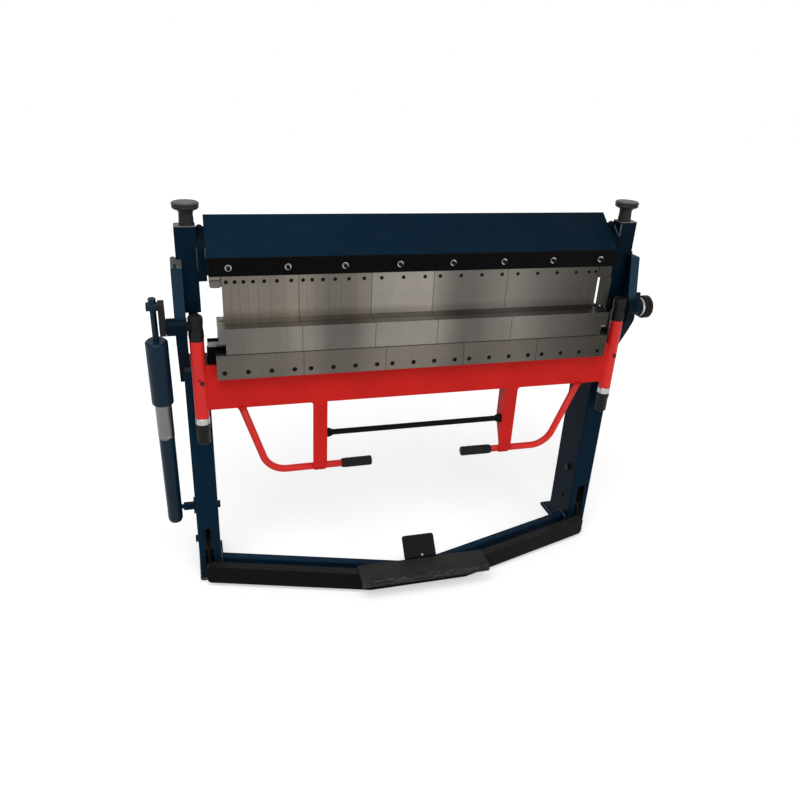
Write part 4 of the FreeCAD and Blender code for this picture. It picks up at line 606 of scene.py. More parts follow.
def bare_steel(name, colour, along=(700.0, 700.0, 10.0), roughness=0.38,
               row=(1.0, 1.0, 1.0), bands=0.04, band_size=14.0, waves=0.0, level=1.0,
               stained=0.10, seams=None, joint_at=None, foot_lift=None):
    """Machined steel: faint grain, soft bands and painted light along the row, a painted
    reflection, painted shade in the seams, stains, worked edges.

    level darkens what faces up as painted shade, joint_at is a height and the level under it, and
    the foot light gives two heights and the level at the lower one, painted light that makes the
    foot of a face lighter.
    """
    material, board, shader = new_material(name)
    here = board.place()
    marks = board.group(ground_grain(), Along=along)
    tone = board.shade(colour, board.spread(marks["Streaks"], 0.30, 0.70, 0.985, 1.015))
    # Painted light along the row, with bands of random tone.
    tone = along_the_row(board, tone, row, Band_Size=band_size, Band_Depth=bands)
    # Painted reflection of a bright room along the row.
    if waves:
        tone = board.shade(tone, board.group(row_waves(), Depth=waves)["Factor"])
    # Painted shade in the gaps between the pieces.
    if seams is not None:
        lines = board.group(seam_lines(name, seams))["Mask"]
        tone = board.shade(tone, board.spread(lines, 0.0, 1.0, 1.0, 0.30))
    if joint_at is not None:
        tone = dark_joint(board, tone, *joint_at)
    # Painted light: the foot of a face is made lighter.
    if foot_lift is not None:
        low, high, factor = foot_lift
        tone = board.shade(tone, board.spread(board.split(here)["Z"], low, high, factor, 1.0))
    cloudy = board.cloud(here, 9.0, 4.0, 0.6)
    tone = board.shade(tone, board.spread(cloudy, 0.3, 0.7, 0.94, 1.06))
    spots = board.spread(board.cloud(here, 30.0, 5.0, 0.7), 0.58, 0.76)
    tone = board.blend(board.times(spots, stained), tone, (0.070, 0.058, 0.042))
    # Painted shade on faces that look up, for the dark faces they mirror.
    if level != 1.0:
        upward = board.facing("True Normal")["Z"]
        tone = board.shade(tone, board.spread(upward, 0.45, 0.80, 1.0, level))
    scratches = board.group(fine_scratches(), Density=3.4)
    edges = board.group(worn_edges(), Radius=0.0006, Patch_Size=70.0)
    light = board.maths("MAXIMUM", board.times(scratches["Mask"], 0.08),
                        board.times(edges["Mask"], 0.25))
    rough = board.spread(cloudy, 0.25, 0.75, roughness - 0.03, roughness + 0.04)
    board.fill(shader, Base_Color=board.blend(light, tone, (0.40, 0.39, 0.37)), Metallic=0.92,
               Roughness=board.plus(rough, board.times(spots, 0.06), clamp=True))
    raise_bump(board, shader, marks["Height"], 0.000004, edges["Normal"])
    return material


def oxide(name, colour, roughness=0.42, metallic=0.55, radius=0.0005, axis=None, ridges=0.0,
          depth=0.0, top=1.0, sides=1.0):
    """Blackened steel, plain or knurled round an axis, with rubbed edges, painted light on faces
    that look up and painted shade on the sides.
    """
    material, board, shader = new_material(name)
    here = board.place()
    cloudy = board.cloud(here, 30.0, 5.0, 0.6)
    tone = board.shade(colour, board.spread(cloudy, 0.25, 0.75, 0.80, 1.22))
    if top != sides:
        tone = board.shade(tone, board.spread(board.facing()["Z"], 0.4, 0.9, sides, top))
    edges = board.group(worn_edges(), Radius=radius, Patch_Size=120.0)
    tone = board.blend(board.times(edges["Mask"], 0.35), tone, (0.12, 0.118, 0.112))
    board.fill(shader, Base_Color=tone, Metallic=metallic, Specular_IOR_Level=0.12,
               Roughness=board.spread(cloudy, 0.2, 0.8, roughness - 0.06, roughness + 0.08))
    if ridges:
        ribs = board.group(knurl(), Axis=axis, Ridges=ridges)["Height"]
        height = board.plus(ribs, board.times(board.cloud(here, 1500.0, 2.0), 0.05))
    elif axis is not None:
        height = board.group(turning_marks(), Axis=axis)["Height"]
        depth = 0.00004
    else:
        height = board.cloud(here, 1500.0, 2.0)
        depth = 0.00001
    raise_bump(board, shader, height, depth, edges["Normal"])
    return material


def grip_rubber(name):
    """Dull black rubber, a little grey where hands rub it."""
    material, board, shader = new_material(name)
    here = board.place()
    cloudy = board.cloud(here, 40.0, 5.0, 0.6)
    tone = board.blend(board.spread(cloudy, 0.35, 0.75), (0.0070, 0.0070, 0.0070),
                       (0.0150, 0.0147, 0.0145))
    edges = board.group(worn_edges(), Radius=0.0008, Patch_Size=90.0)
    tone = board.blend(board.times(edges["Mask"], 0.3), tone, (0.04, 0.04, 0.039))
    board.fill(shader, Base_Color=tone, Specular_IOR_Level=0.12,
               Roughness=board.spread(cloudy, 0.2, 0.8, 0.50, 0.68))
    raise_bump(board, shader, board.cloud(here, 1400.0, 3.0), 0.00004, edges["Normal"])
    return material


def rubbed_rim(board, here, front_edge):
    """Pale dashes where shoes rub the front edge of the treadle; the edge is a Y in metres."""
    rim = board.far_from(board.split(here)["Y"], front_edge)
    dashes = board.spread(board.cloud(board.stretched(here, (34.0, 260.0, 260.0)), 1.0, 3.0),
                          0.52, 0.60)
    return board.times(board.spread(rim, 0.0015, 0.0045, 1.0, 0.0), dashes)


def trodden_black(name, colour, front_edge):
    """Black paint worn grey by shoes: pale specks, short scuffs and a rubbed front edge."""
    material, board, shader = new_material(name)
    here = board.place()
    tone = board.shade(colour, board.spread(board.cloud(here, 14.0, 6.0, 0.65),
                                            0.3, 0.7, 0.85, 1.5))
    specks = board.spread(board.cloud(here, 330.0, 4.0, 0.75), 0.59, 0.66)
    scuffs = board.group(fine_scratches(), Density=1.5)["Mask"]
    upward = board.spread(board.facing()["Z"], 0.4, 0.9, 0.18, 1.0)
    edges = board.group(worn_edges(), Radius=0.0025, Patch_Size=60.0)
    worn = board.times(board.maths("MAXIMUM", specks, scuffs), upward)
    worn = board.maths("MAXIMUM", board.times(worn, 0.45), edges["Mask"], clamp=True)
    tone = board.blend(worn, tone, (0.095, 0.090, 0.082))
    tone = board.blend(board.times(rubbed_rim(board, here, front_edge), 0.75), tone,
                       (0.150, 0.140, 0.125))
    dust = board.group(settled_dust(), Amount=0.20)["Mask"]
    board.fill(shader, Base_Color=board.blend(dust, tone, (0.040, 0.038, 0.035)),
               Specular_IOR_Level=0.10, Roughness=board.spread(worn, 0.0, 1.0, 0.50, 0.64))
    raise_bump(board, shader, board.cloud(here, 240.0, 5.0, 0.7), 0.0003, edges["Normal"])
    return material


def finish(material, *names):
    """Puts one material on CAD nodes."""
    for name in names:
        mesh = frame["nodes"][name].data
        mesh.materials.clear()
        mesh.materials.append(material)


# Mesh helpers

def add_piece(name, mesh_maker, material, body, smooth=True):
    """Makes a mesh piece with bmesh, gives it its finish and lets it ride on its body."""
    mesh = bpy.data.meshes.new(name)
    build = bmesh.new()
    mesh_maker(build)
    bmesh.ops.recalc_face_normals(build, faces=build.faces)
    for face in build.faces:
        face.smooth = smooth
    build.to_mesh(mesh)
    build.free()
    mesh.materials.append(material)
    piece = bpy.data.objects.new(name, mesh)
    bpy.context.scene.collection.objects.link(piece)
    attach(piece, body)
    return piece


def frame_along(way):
    """Two directions square to a way and to each other."""
    helper = Vector((0.0, 0.0, 1.0)) if abs(way.z) < 0.9 else Vector((0.0, 1.0, 0.0))
    side = way.cross(helper).normalized()
    return side, side.cross(way).normalized()


def add_rings(build, rings, close_ends=True):
    """Skins a list of equal rings of points."""
    loops = [[build.verts.new(point) for point in ring] for ring in rings]
    count = len(loops[0])
    for one, two in zip(loops, loops[1:]):
        for n in range(count):
            m = (n + 1) % count
            build.faces.new((one[n], one[m], two[m], two[n]))
    if close_ends:
        build.faces.new(loops[0][::-1])
        build.faces.new(loops[-1])


def ring_round(middle, side, up, radius, steps):
    """Points of a circle that lies in two directions square to each other."""
    turns = (math.tau * n / steps for n in range(steps))
    return [middle + (side * math.cos(turn) + up * math.sin(turn)) * radius for turn in turns]


def way_at(path, n):
    """Which way a line of points runs at one of them."""
    return (path[min(n + 1, len(path) - 1)] - path[max(n - 1, 0)]).normalized()


def add_turned(build, start, way, profile, steps=40):
    """A turned form: profile holds (distance along the way, radius) pairs."""
    way = way.normalized()
    side, up = frame_along(way)
    add_rings(build, [ring_round(start + way * far, side, up, max(radius, 1e-5), steps)
                      for far, radius in profile])


def add_bead(build, points, closed=False):
    """A rippled weld bead along a line of points in millimetres."""
    weld = bpy.context.scene.brake_weld
    corners = [Vector(point) * MM for point in points]
    if closed:
        corners.append(corners[0])
    path = []
    for here, there in zip(corners, corners[1:]):
        count = max(2, round((there - here).length / (weld.ripple / 4)))
        path += [here.lerp(there, n / count) for n in range(count)]
    path.append(corners[-1])
    rings = []
    for n, point in enumerate(path):
        side, up = frame_along(way_at(path, n))
        rough = noise.noise(point * 160.0)
        radius = weld.width * (0.92 + 0.10 * math.cos(n * math.pi / 2) + 0.16 * rough)
        if not closed:
            radius *= min(1.0, 0.35 + 0.3 * min(n, len(path) - 1 - n))
        rings.append(ring_round(point, side, up, radius, 8))
    add_rings(build, rings)


def add_block(build, low, high):
    """A plain block between two corners in millimetres."""
    floor = [(low[0], low[1]), (high[0], low[1]), (high[0], high[1]), (low[0], high[1])]
    add_rings(build, [[Vector((x, y, z)) * MM for x, y in floor] for z in (low[2], high[2])])


def rounded_path(start, corner, end, radius, steps=14):
    """Points in millimetres of two straight runs joined by an arc."""
    into, out = (corner - start).normalized(), (end - corner).normalized()
    half = into.angle(out) / 2
    trim = radius * math.tan(half)
    inward = (out - into).normalized()
    centre = corner + inward * (radius / math.cos(half))
    arm, rise = (corner - into * trim) - centre, into * radius
    bend = [centre + arm * math.cos(2 * half * n / steps) + rise * math.sin(2 * half * n / steps)
            for n in range(steps + 1)]
    return [start] + bend + [end]


def add_pipe(build, path, radius, steps=28):
    """A round bar along points in millimetres of one upright plane, with flat ends."""
    rings = []
    for n, point in enumerate(path):
        way = way_at(path, n)
        side = Vector((0.0, 1.0, 0.0)).cross(way).normalized()
        rings.append([spot * MM for spot in
                      ring_round(point, side, way.cross(side), radius, steps)])
    add_rings(build, rings)


def seams_of(names, strong=(), faint=0.25):
    """Where the pieces of a row meet, in metres from the middle, each with the strength of its
    painted shade.

    A seam is read from the broad faces that look sideways; strong names some in millimetres.
    """
    found = set()
    for name in names:
        for face in frame["nodes"][name].data.polygons:
            if abs(face.normal.x) > 0.99 and face.area > 0.0003 and abs(face.center.x) < 0.6:
                found.add(round(face.center.x * 2000) / 2000)
    return [(seam, 1.0 if round(seam / MM) in strong else faint) for seam in sorted(found)]


def add_lowered_nose(build, node):
    """A CAD finger with a lower bevelled nose and lower horn than the solid has."""
    build.from_mesh(frame["nodes"][node].data)
    base = min(corner.co.z for corner in build.verts)
    nose_height, horn_tip = 0.030, 0.630
    horn_share, nose_share = 0.06, 0.36
    for corner in build.verts:
        if corner.co.z < base + nose_height:
            share = horn_share if abs(corner.co.x) > horn_tip else nose_share
            corner.co.z = base + (corner.co.z - base) * share


def corners_of(node):
    """Lowest and highest corner of a CAD node in millimetres."""
    low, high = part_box(node)
    return low / MM, high / MM


# Operators

class BRAKE_OT_lay_stage(Operator):
    """Lay the pale floor, hang the soft lamps and stand the camera"""

    bl_idname = "brake.lay_stage"
    bl_label = "Lay the stage"

    def execute(self, context):
        settings = context.scene.brake_stage
        self.lay_floor(settings)
        self.hang_lamps(settings)
        self.light_world(context, settings)
        self.stand_camera(context, settings)
        return {"FINISHED"}

    def lay_floor(self, settings):
        """A wide plain floor just under the feet."""
        mesh = bpy.data.meshes.new("studio_floor")
        half, under = 14.0, -0.0004
        corners = [(-half, -half, under), (half, -half, under), (half, half, under),
                   (-half, half, under)]
        mesh.from_pydata(corners, [], [(0, 1, 2, 3)])
        mesh.materials.append(self.floor_paint(settings))
        floor = bpy.data.objects.new("studio_floor", mesh)
        bpy.context.scene.collection.objects.link(floor)

    def floor_paint(self, settings):
        """Pale paint that the camera, mirrors and glass see whiter than the lamps leave it."""
        material, board, shader = new_material("Studio Floor")
        fleck = board.cloud(board.place(), 3.0, 3.0)
        tone = board.shade(tuple(settings.floor_colour), board.spread(fleck, 0.3, 0.7, 0.98, 1.0))
        board.fill(shader, Base_Color=tone, Roughness=0.9, Specular_IOR_Level=0.1)
        away = board.vectors("LENGTH", board.place())["Value"]
        glow = board.spread(away, 0.9, 2.6, settings.glow_near, settings.glow_far)
        lift = board.fill(board.add("Emission"), Color=(1.0, 1.0, 1.0),
                          Strength=board.times(self.seen(board), glow))
        both = board.add("AddShader")
        board.put(both.inputs[0], shader.outputs[0])
        board.put(both.inputs[1], lift.outputs[0])
        board.put(material.node_tree.nodes["Material Output"].inputs["Surface"],
                  both.outputs[0])
        return material

    def seen(self, board):
        """1 for rays that show the background to the eye, in a mirror or through glass."""
        rays = board.add("LightPath").outputs
        return board.maths("MAXIMUM", rays["Is Camera Ray"],
                           board.maths("MAXIMUM", rays["Is Glossy Ray"],
                                       rays["Is Transmission Ray"]))

    def hang_lamps(self, settings):
        """A large lamp overhead and a smaller one in front, both aimed at the machine."""
        lamps = (("key_lamp", settings.key, (-0.9, -1.6, 3.4), (0.0, 0.05, 0.75), 2.6, 1.8),
                 ("fill_lamp", settings.fill, (1.9, -2.9, 1.5), (0.0, 0.0, 0.7), 1.6, 1.6))
        for name, power, place, target, wide, tall in lamps:
            data = bpy.data.lights.new(name, "AREA")
            data.shape = "RECTANGLE"
            data.size, data.size_y = wide, tall
            data.energy = power
            lamp = bpy.data.objects.new(name, data)
            lamp.location = place
            look = Vector(target) - Vector(place)
            lamp.rotation_euler = look.to_track_quat("-Z", "Y").to_euler()
            bpy.context.scene.collection.objects.link(lamp)

    def light_world(self, context, settings):
        """Even light from all round, seen as plain white."""
        world = bpy.data.worlds.new("Studio")
        world.use_nodes = True
        context.scene.world = world
        tree = world.node_tree
        tree.nodes.clear()
        board = Board(tree)
        strength = board.ramp(self.seen(board), 0.0, 1.0, settings.sky, 1.0)
        sky = board.fill(board.add("Background"), Color=(1.0, 1.0, 1.0), Strength=strength)
        board.fill(board.add("OutputWorld"), Surface=sky.outputs[0])

    def stand_camera(self, context, settings):
        """The camera by its heading, dip and roll."""
        data = bpy.data.cameras.new("photo_camera")
        data.sensor_width = 36.0
        data.lens = settings.lens
        data.clip_start, data.clip_end = 0.05, 60.0
        camera = bpy.data.objects.new("photo_camera", data)
        level_way = Vector((math.sin(settings.heading), math.cos(settings.heading), 0.0))
        level_right = Vector((math.cos(settings.heading), -math.sin(settings.heading), 0.0))
        rise = Vector((0.0, 0.0, 1.0))
        way = math.cos(settings.dip) * level_way - math.sin(settings.dip) * rise
        up = math.sin(settings.dip) * level_way + math.cos(settings.dip) * rise
        right = math.cos(settings.roll) * level_right + math.sin(settings.roll) * up
        head = math.cos(settings.roll) * up - math.sin(settings.roll) * level_right
        turn = Matrix((right, head, -way)).transposed().to_4x4()
        camera.matrix_world = Matrix.Translation(Vector(settings.camera_place)) @ turn
        context.scene.collection.objects.link(camera)
        context.scene.camera = camera
        context.scene.view_settings.view_transform = "Standard"


class BRAKE_OT_paint_frame(Operator):
    """Spray the frame and the clamping beam navy, and the cheeks a thinner coat"""

    bl_idname = "brake.paint_frame"
    bl_label = "Paint the frame"

    def execute(self, context):
        paint = context.scene.brake_paint
        navy = tuple(paint.navy)
        # The row values paint light along the machine; the side, front and middle levels paint
        # shade.
        finish(enamel("Navy Enamel Beam", navy, row=(1.25, 1.0, 0.78)), "upper_beam")
        finish(enamel("Navy Enamel", navy, row=(1.3, 1.1, 0.95), side_level=0.6),
               "left_column", "right_column", "balancer_bracket")
        finish(enamel("Navy Enamel Stop", navy, row=(1.0, 1.0, 0.75), shine=0.06),
               "stop_housing")
        finish(enamel("Navy Enamel Low", navy, dust=0.16, wear=0.4, row=(1.7, 1.4, 1.15)),
               "floor_beam", "foot_plates")
        finish(enamel("Navy Enamel Guide", navy, bare_over=1.2360, row=(0.78, 0.8, 0.58),
                      side_level=0.7, inside=(0.6765, 0.6)), "left_guide_box",
               "right_guide_box")
        # The cheeks' base tone is the navy darkened as painted shade; the slate coat shows only on
        # faces that look forward above a height, the cheeks' greyer coat with painted light.
        slate, shadow = tuple(paint.slate), tinted(navy, 0.55)
        finish(enamel("Slate Enamel Rubbed", shadow, bare_over=1.1270, bare=(0.085, 0.094, 0.096),
                      side_level=0.6, front_coat=(slate, 0.985)), "left_cheek")
        finish(enamel("Slate Enamel", shadow, side_level=0.6,
                      front_coat=(tinted(slate, 1.2), 0.995)), "right_cheek")
        return {"FINISHED"}


class BRAKE_OT_paint_leaf(Operator):
    """Spray the apron, the arm tubes and the handle pipes red"""

    bl_idname = "brake.paint_leaf"
    bl_label = "Paint the leaf"

    def execute(self, context):
        paint = context.scene.brake_paint
        red = tuple(paint.red)
        worn = (0.34, 0.06, 0.05)
        # The tubes and pipes take a lighter copy of the red: painted light for their brighter
        # highlights.
        finish(enamel("Red Enamel", tinted(red, 1.15), worn=worn, dust=0.02, shine=0.25),
               "arm_tubes", "handle_pipes")
        across, height = 0.612, corners_of("apron")[1].z * MM - 0.043
        finish(enamel("Red Enamel Apron", red, worn=worn, dust=0.02, shine=0.06,
                      black_ends=(across, height, tuple(paint.black))), "apron")
        return {"FINISHED"}


class BRAKE_OT_paint_black(Operator):
    """Give strips, sleeves, cross rod and pedal their black coats"""

    bl_idname = "brake.paint_black"
    bl_label = "Paint the black pieces"

    def execute(self, context):
        black = tuple(context.scene.brake_paint.black)
        grey = tinted(black, 2.6)
        worn = (0.07, 0.068, 0.064)
        finish(enamel("Satin Black", black, roughness=0.45, worn=worn, dust=0.04),
               "bed_beam", "bed_strip", "clamp_strip")
        finish(enamel("Toe Plate Black", tinted(grey, 1.5), roughness=0.5, worn=worn,
                      wear=0.4, shine=0.06), "toe_plate")
        finish(enamel("Cross Rod Black", grey, roughness=0.45, worn=worn), "cross_rod")
        finish(enamel("Sleeve Black", tinted(black, 4.0), roughness=0.42, worn=worn,
                      shine=0.12), "arm_sleeves", "crank_arm")
        finish(enamel("Stop Knob Black", tinted(grey, 1.4), roughness=0.42, worn=worn,
                      shine=0.08), "stop_knob")
        # The pedal bar's front faces are darkened: painted shade.
        finish(enamel("Pedal Black", tinted(grey, 1.9), roughness=0.50, worn=worn,
                      wear=0.5, dust=0.25, shine=0.05, peel_depth=0.0001, front_level=0.3),
               "pedal_bar")
        rim_behind_edge = 0.003
        finish(trodden_black("Trodden Black", (0.0150, 0.0150, 0.0145),
                             corners_of("treadle")[0].y * MM + rim_behind_edge), "treadle")
        navy = tinted(context.scene.brake_paint.navy, 1.25)
        finish(enamel("Balancer Paint", navy, roughness=0.34, shine=0.12), "balancer_tube",
               "balancer_head")
        return {"FINISHED"}


class BRAKE_OT_grind_jaws(Operator):
    """Finish the fingers, the bending blades, the clamp bars and the lower jaw"""

    bl_idname = "brake.grind_jaws"
    bl_label = "Grind the jaws"

    strong_seams = (-390, -165, 35, 285)
    bar_seams = (-387, -129, 129, 387)

    def execute(self, context):
        steel = context.scene.brake_steel
        self.grind_fingers(tuple(steel.jaw), tuple(steel.blade))
        self.grind_leaf(tuple(steel.blade), tuple(steel.bar))
        return {"FINISHED"}

    def grind_fingers(self, jaw, blade):
        """Narrow, polished and wide fingers; each gets its lower nose."""
        narrow = [f"fingers_{wide}" for wide in (25, 30, 35, 40, 45, 50)]
        polished, wide = ["fingers_200"], ["fingers_250", "fingers_280"]
        # lift paints light on the foot of each finger face; the row values and reflection depths
        # paint the lamps' reflection along the row, and level paints shade on faces that look up.
        lift = (0.966, 1.022, 1.42)
        self.grind_group(narrow, "Finger Steel", jaw, row=(0.93, 1.12, 0.24), level=0.66,
                         bands=0.05, band_size=9.0, foot_lift=lift, waves=0.34)
        self.grind_group(polished, "Finger Steel Polished", blade, row=(0.2, 1.56, 1.2),
                         level=0.46, bands=0.03, foot_lift=lift, waves=0.2)
        self.grind_group(wide, "Finger Steel Wide", blade, row=(0.96, 1.28, 0.21), level=0.66,
                         bands=0.04, band_size=9.0, foot_lift=lift, waves=0.40)

    def grind_group(self, names, label, colour, **looks):
        """One steel for a group of fingers, and a mesh with the lower nose for each node."""
        metal = bare_steel(label, colour, seams=seams_of(names, self.strong_seams), **looks)
        finish(metal, *names)
        for name in names:
            piece = add_piece(f"{name}_noses", lambda build: add_lowered_nose(build, name),
                              metal, "clamp", smooth=False)
            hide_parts(name)

    def grind_leaf(self, blade, bar):
        """Blades and bars with the dark joint between them, and the rail over the fingers."""
        along = (12.0, 700.0, 700.0)
        # The row values and reflection depths paint the lamps' reflection along the row, and the
        # seam lines paint shade in the gaps.
        joint, rail_joint = corners_of("clamp_bars")[1].z * MM, 1.0845
        finish(bare_steel("Blade Steel", blade, along=along, bands=0.06, band_size=9.0,
                          row=(0.72, 1.30, 0.17), joint_at=(joint, 1.0), waves=0.46,
                          seams=seams_of(["bending_blades"], self.strong_seams)),
               "bending_blades", "bed_blade")
        finish(bare_steel("Bar Steel", bar, along=along, roughness=0.42, bands=0.05, waves=0.27,
                          band_size=9.0, row=(0.73, 1.12, 0.26), stained=0.2,
                          joint_at=(joint, 1.0),
                          seams=seams_of(["clamp_bars"], self.bar_seams, 1.0)), "clamp_bars")
        finish(bare_steel("Rail Steel", blade, along=along, row=(1.05, 1.0, 0.42),
                          joint_at=(rail_joint, 0.72)), "finger_rails")


class BRAKE_OT_finish_fittings(Operator):
    """Finish rings, rods, pins, screws, knobs, nuts and bushes"""

    bl_idname = "brake.finish_fittings"
    bl_label = "Finish the fittings"

    def execute(self, context):
        steel = context.scene.brake_steel
        bright = tuple(steel.bright)
        graphite = tuple(context.scene.brake_paint.graphite)
        finish(bare_steel("Turned Steel", bright, along=(40.0, 40.0, 900.0), roughness=0.30,
                          stained=0.05, bands=0.0), "lock_rings", "leaf_spindles", "toe_screw")
        finish(bare_steel("Balancer Steel", tinted(bright, 0.38), bands=0.0,
                          along=(40.0, 40.0, 500.0), roughness=0.30), "balancer_sleeve")
        finish(bare_steel("Bright Rail", tinted(bright, 0.42), roughness=0.32,
                          along=(20.0, 900.0, 900.0), bands=0.0), "bed_rail")
        finish(bare_steel("Washer Steel", bright, along=(300.0, 300.0, 300.0), bands=0.0,
                          roughness=0.30), "strip_washers", "stop_ring")
        finish(oxide("Black Oxide", (0.010, 0.0098, 0.0095)), "strip_screws", "finger_screws",
               "bar_screws", "frame_bolts", "balancer_pin")
        finish(oxide("Oiled Steel", (0.012, 0.0115, 0.0110)), "pull_rods", "pivot_pins",
               "guide_gibs")
        axes = {joint["name"]: tuple(joint["pos_m"]) for joint in frame["joints"]
                if "pos_m" in joint}
        for side in ("left", "right"):
            # The knobs' tops are painted light and their sides painted shade.
            finish(oxide(f"{side.title()} Knob Graphite", graphite, 0.46, 0.35, 0.0010,
                         axis=axes[f"{side}_knob_turn"], top=1.30, sides=0.36),
                   f"{side}_height_knob")
            finish(oxide(f"{side.title()} Nut Oxide", (0.016, 0.0156, 0.0152), 0.40, 0.4,
                         0.0008, axis=axes[f"{side}_nut_turn"], ridges=54.0, depth=0.0007),
                   f"{side}_leaf_nut")
        finish(bare_steel("Bearing Bronze", tuple(steel.bronze), along=(40.0, 40.0, 900.0),
                          bands=0.0), "pivot_bushes")
        return {"FINISHED"}


class BRAKE_OT_run_welds(Operator):
    """Run the weld beads where plates and tubes meet"""

    bl_idname = "brake.run_welds"
    bl_label = "Run the welds"

    def execute(self, context):
        paint = context.scene.brake_paint
        # The navy beads' rubbed edges take a strong pale blue: a painted highlight along the
        # beads.
        navy = enamel("Navy Weld", tuple(paint.navy), worn=(0.16, 0.24, 0.32), wear=0.6,
                      shine=0.5, roughness=0.3)
        red = enamel("Red Weld", tuple(paint.red), worn=(0.34, 0.06, 0.05), dust=0.0)
        black = enamel("Black Weld", tuple(paint.black), roughness=0.5)
        add_piece("gusset_welds", self.gusset_welds, navy, "clamp")
        add_piece("column_welds", self.column_welds, navy, "frame")
        add_piece("handle_welds", self.handle_welds, red, "leaf")
        add_piece("toe_welds", self.toe_welds, black, "pedal")
        return {"FINISHED"}

    def gusset_welds(self, build):
        """Beads between guide box and gusset: upright at the left, up the slope at the right."""
        low, high = corners_of("right_guide_box")
        corner, root = low.x + 23.0, low.y + 18.0
        add_bead(build, [(-corner - 0.6, root - 0.8, 1108.0), (-corner - 0.6, root - 0.8, 1180.0)])
        add_bead(build, [(-low.x - 0.6, low.y - 0.8, 1150.0), (-low.x - 0.6, low.y - 0.8, 1181.0)])
        add_bead(build, [(corner, root - 0.6, 1190.0), (corner, high.y - 2.0, 1228.0)])
        add_bead(build, [(corner, root - 0.6, 1190.0), (corner + 1.3, root - 0.6, 1234.0)])

    def column_welds(self, build):
        """Beads round the column feet, at the ribs, the floor beam and the bed beam."""
        low, high = corners_of("right_column")
        beam_end, beam_top = corners_of("floor_beam")[1].x - 1.0, corners_of("floor_beam")[1].z
        beam_back, beam_wide, beam_foot = corners_of("floor_beam")[1].y, 43.0, 10.0
        bed_low, bed_high = corners_of("bed_beam")
        plate_top, rib_end = 9.0, 248.0
        for side in SIDES:
            foot = [(low.x, low.y), (high.x, low.y), (high.x, high.y), (low.x, high.y)]
            add_bead(build, [(side * x, y, low.z + 1.0) for x, y in foot], closed=True)
            beam = [(beam_back - beam_wide, beam_foot), (beam_back - beam_wide, beam_top),
                    (beam_back, beam_top), (beam_back, beam_foot)]
            bed = [(low.y + 2.0, bed_low.z), (bed_high.y, bed_low.z), (bed_high.y, high.z - 3.0)]
            for outline in (beam, bed):
                add_bead(build, [(side * beam_end, deep, height) for deep, height in outline])
            for step in (0.0, 8.0):
                across = side * (low.x + step)
                add_bead(build, [(across, high.y + 3.0, plate_top), (across, rib_end, plate_top)])

    def handle_welds(self, build):
        """A ring where each pipe meets the apron, and two short beads behind each upright."""
        steps, radius = 20, 11.6
        for side in SIDES:
            top = HANDLES[side]["top"]
            turns = (math.tau * n / steps for n in range(steps))
            add_bead(build, [(side * top + radius * math.cos(turn),
                              -7.5 + radius * math.sin(turn), 689.5) for turn in turns],
                     closed=True)
            for height in (452.3, 438.7):
                add_bead(build, [(side * 311.0, -3.2, height), (side * 351.0, -3.2, height)])

    def toe_welds(self, build):
        """The bead that holds the toe plate to the treadle."""
        low, high = corners_of("toe_plate")
        add_bead(build, [(low.x + 3.0, low.y + 0.8, low.z + 5.4),
                         (high.x - 3.0, low.y + 0.8, low.z + 5.4)])


class BRAKE_OT_set_grub_screws(Operator):
    """Set a small socket screw in the hole of each arm tube"""

    bl_idname = "brake.set_grub_screws"
    bl_label = "Set the grub screws"

    def execute(self, context):
        metal = oxide("Grub Screw Oxide", (0.018, 0.018, 0.0175), 0.35, 0.6, 0.0003)
        add_piece("grub_screws", self.screws, metal, "leaf")
        return {"FINISHED"}

    def screws(self, build):
        """Flat rings with a hollow for the key, square to the front of the tubes."""
        front = corners_of("arm_tubes")[0].y + 3.5
        shape = ((0.0, 6.4), (4.6, 6.8), (5.4, 6.0), (5.4, 3.4), (2.5, 3.0), (2.5, 0.0))
        for across, height in ((-689.5, 784.0), (701.0, 790.0)):
            add_turned(build, Vector((across, front, height)) * MM, Vector((0.0, -1.0, 0.0)),
                       [(far * MM, radius * MM) for far, radius in shape], 18)


class BRAKE_OT_bend_handles(Operator):
    """Bend the handle pipes, lengthen the uprights to them and hang the cross rod"""

    bl_idname = "brake.bend_handles"
    bl_label = "Bend the handles"

    def execute(self, context):
        red = bpy.data.materials["Red Enamel"]
        pipes = add_piece("bent_pipes", self.pipes, red, "leaf")
        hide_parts("handle_pipes")
        add_piece("upright_tips", self.tips, bpy.data.materials["Red Enamel Apron"], "leaf",
                  smooth=False)
        rod = add_piece("flared_rod", self.rod, bpy.data.materials["Cross Rod Black"], "leaf")
        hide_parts("cross_rod")
        return {"FINISHED"}

    def pipes(self, build):
        """From the apron's lower edge in one wide bend to the grip."""
        handle = bpy.context.scene.brake_handle
        for side in SIDES:
            shape = HANDLES[side]
            path = rounded_path(Vector((side * shape["top"], -7.5, 690.0)),
                                Vector((side * shape["corner"], PIPE_DEPTH, 445.5)),
                                Vector((side * shape["end"], PIPE_DEPTH, 447.0)),
                                handle.bend / MM)
            add_pipe(build, path, handle.pipe / MM)

    def tips(self, build):
        """The uprights reach down to the lower side of the pipes."""
        inner, outer, foot = 308.0, 354.0, 444.5
        head = corners_of("apron")[0].z
        for side in SIDES:
            across = sorted((side * inner, side * outer))
            add_block(build, (across[0], -10.0, foot), (across[1], -5.0, head))

    def rod(self, build):
        """A round rod with cone-shaped ends."""
        handle = bpy.context.scene.brake_handle
        low, high = corners_of("cross_rod")
        start = Vector((low.x, (low.y + high.y) / 2, (low.z + high.z) / 2)) * MM
        long = (high.x - low.x) * MM
        ends = ((0.0, handle.rod_end), (0.006, handle.rod_end), (0.016, 0.0125),
                (0.021, handle.rod))
        profile = list(ends) + [(long - far, radius) for far, radius in reversed(ends)]
        add_turned(build, start, Vector((1.0, 0.0, 0.0)), profile, 32)


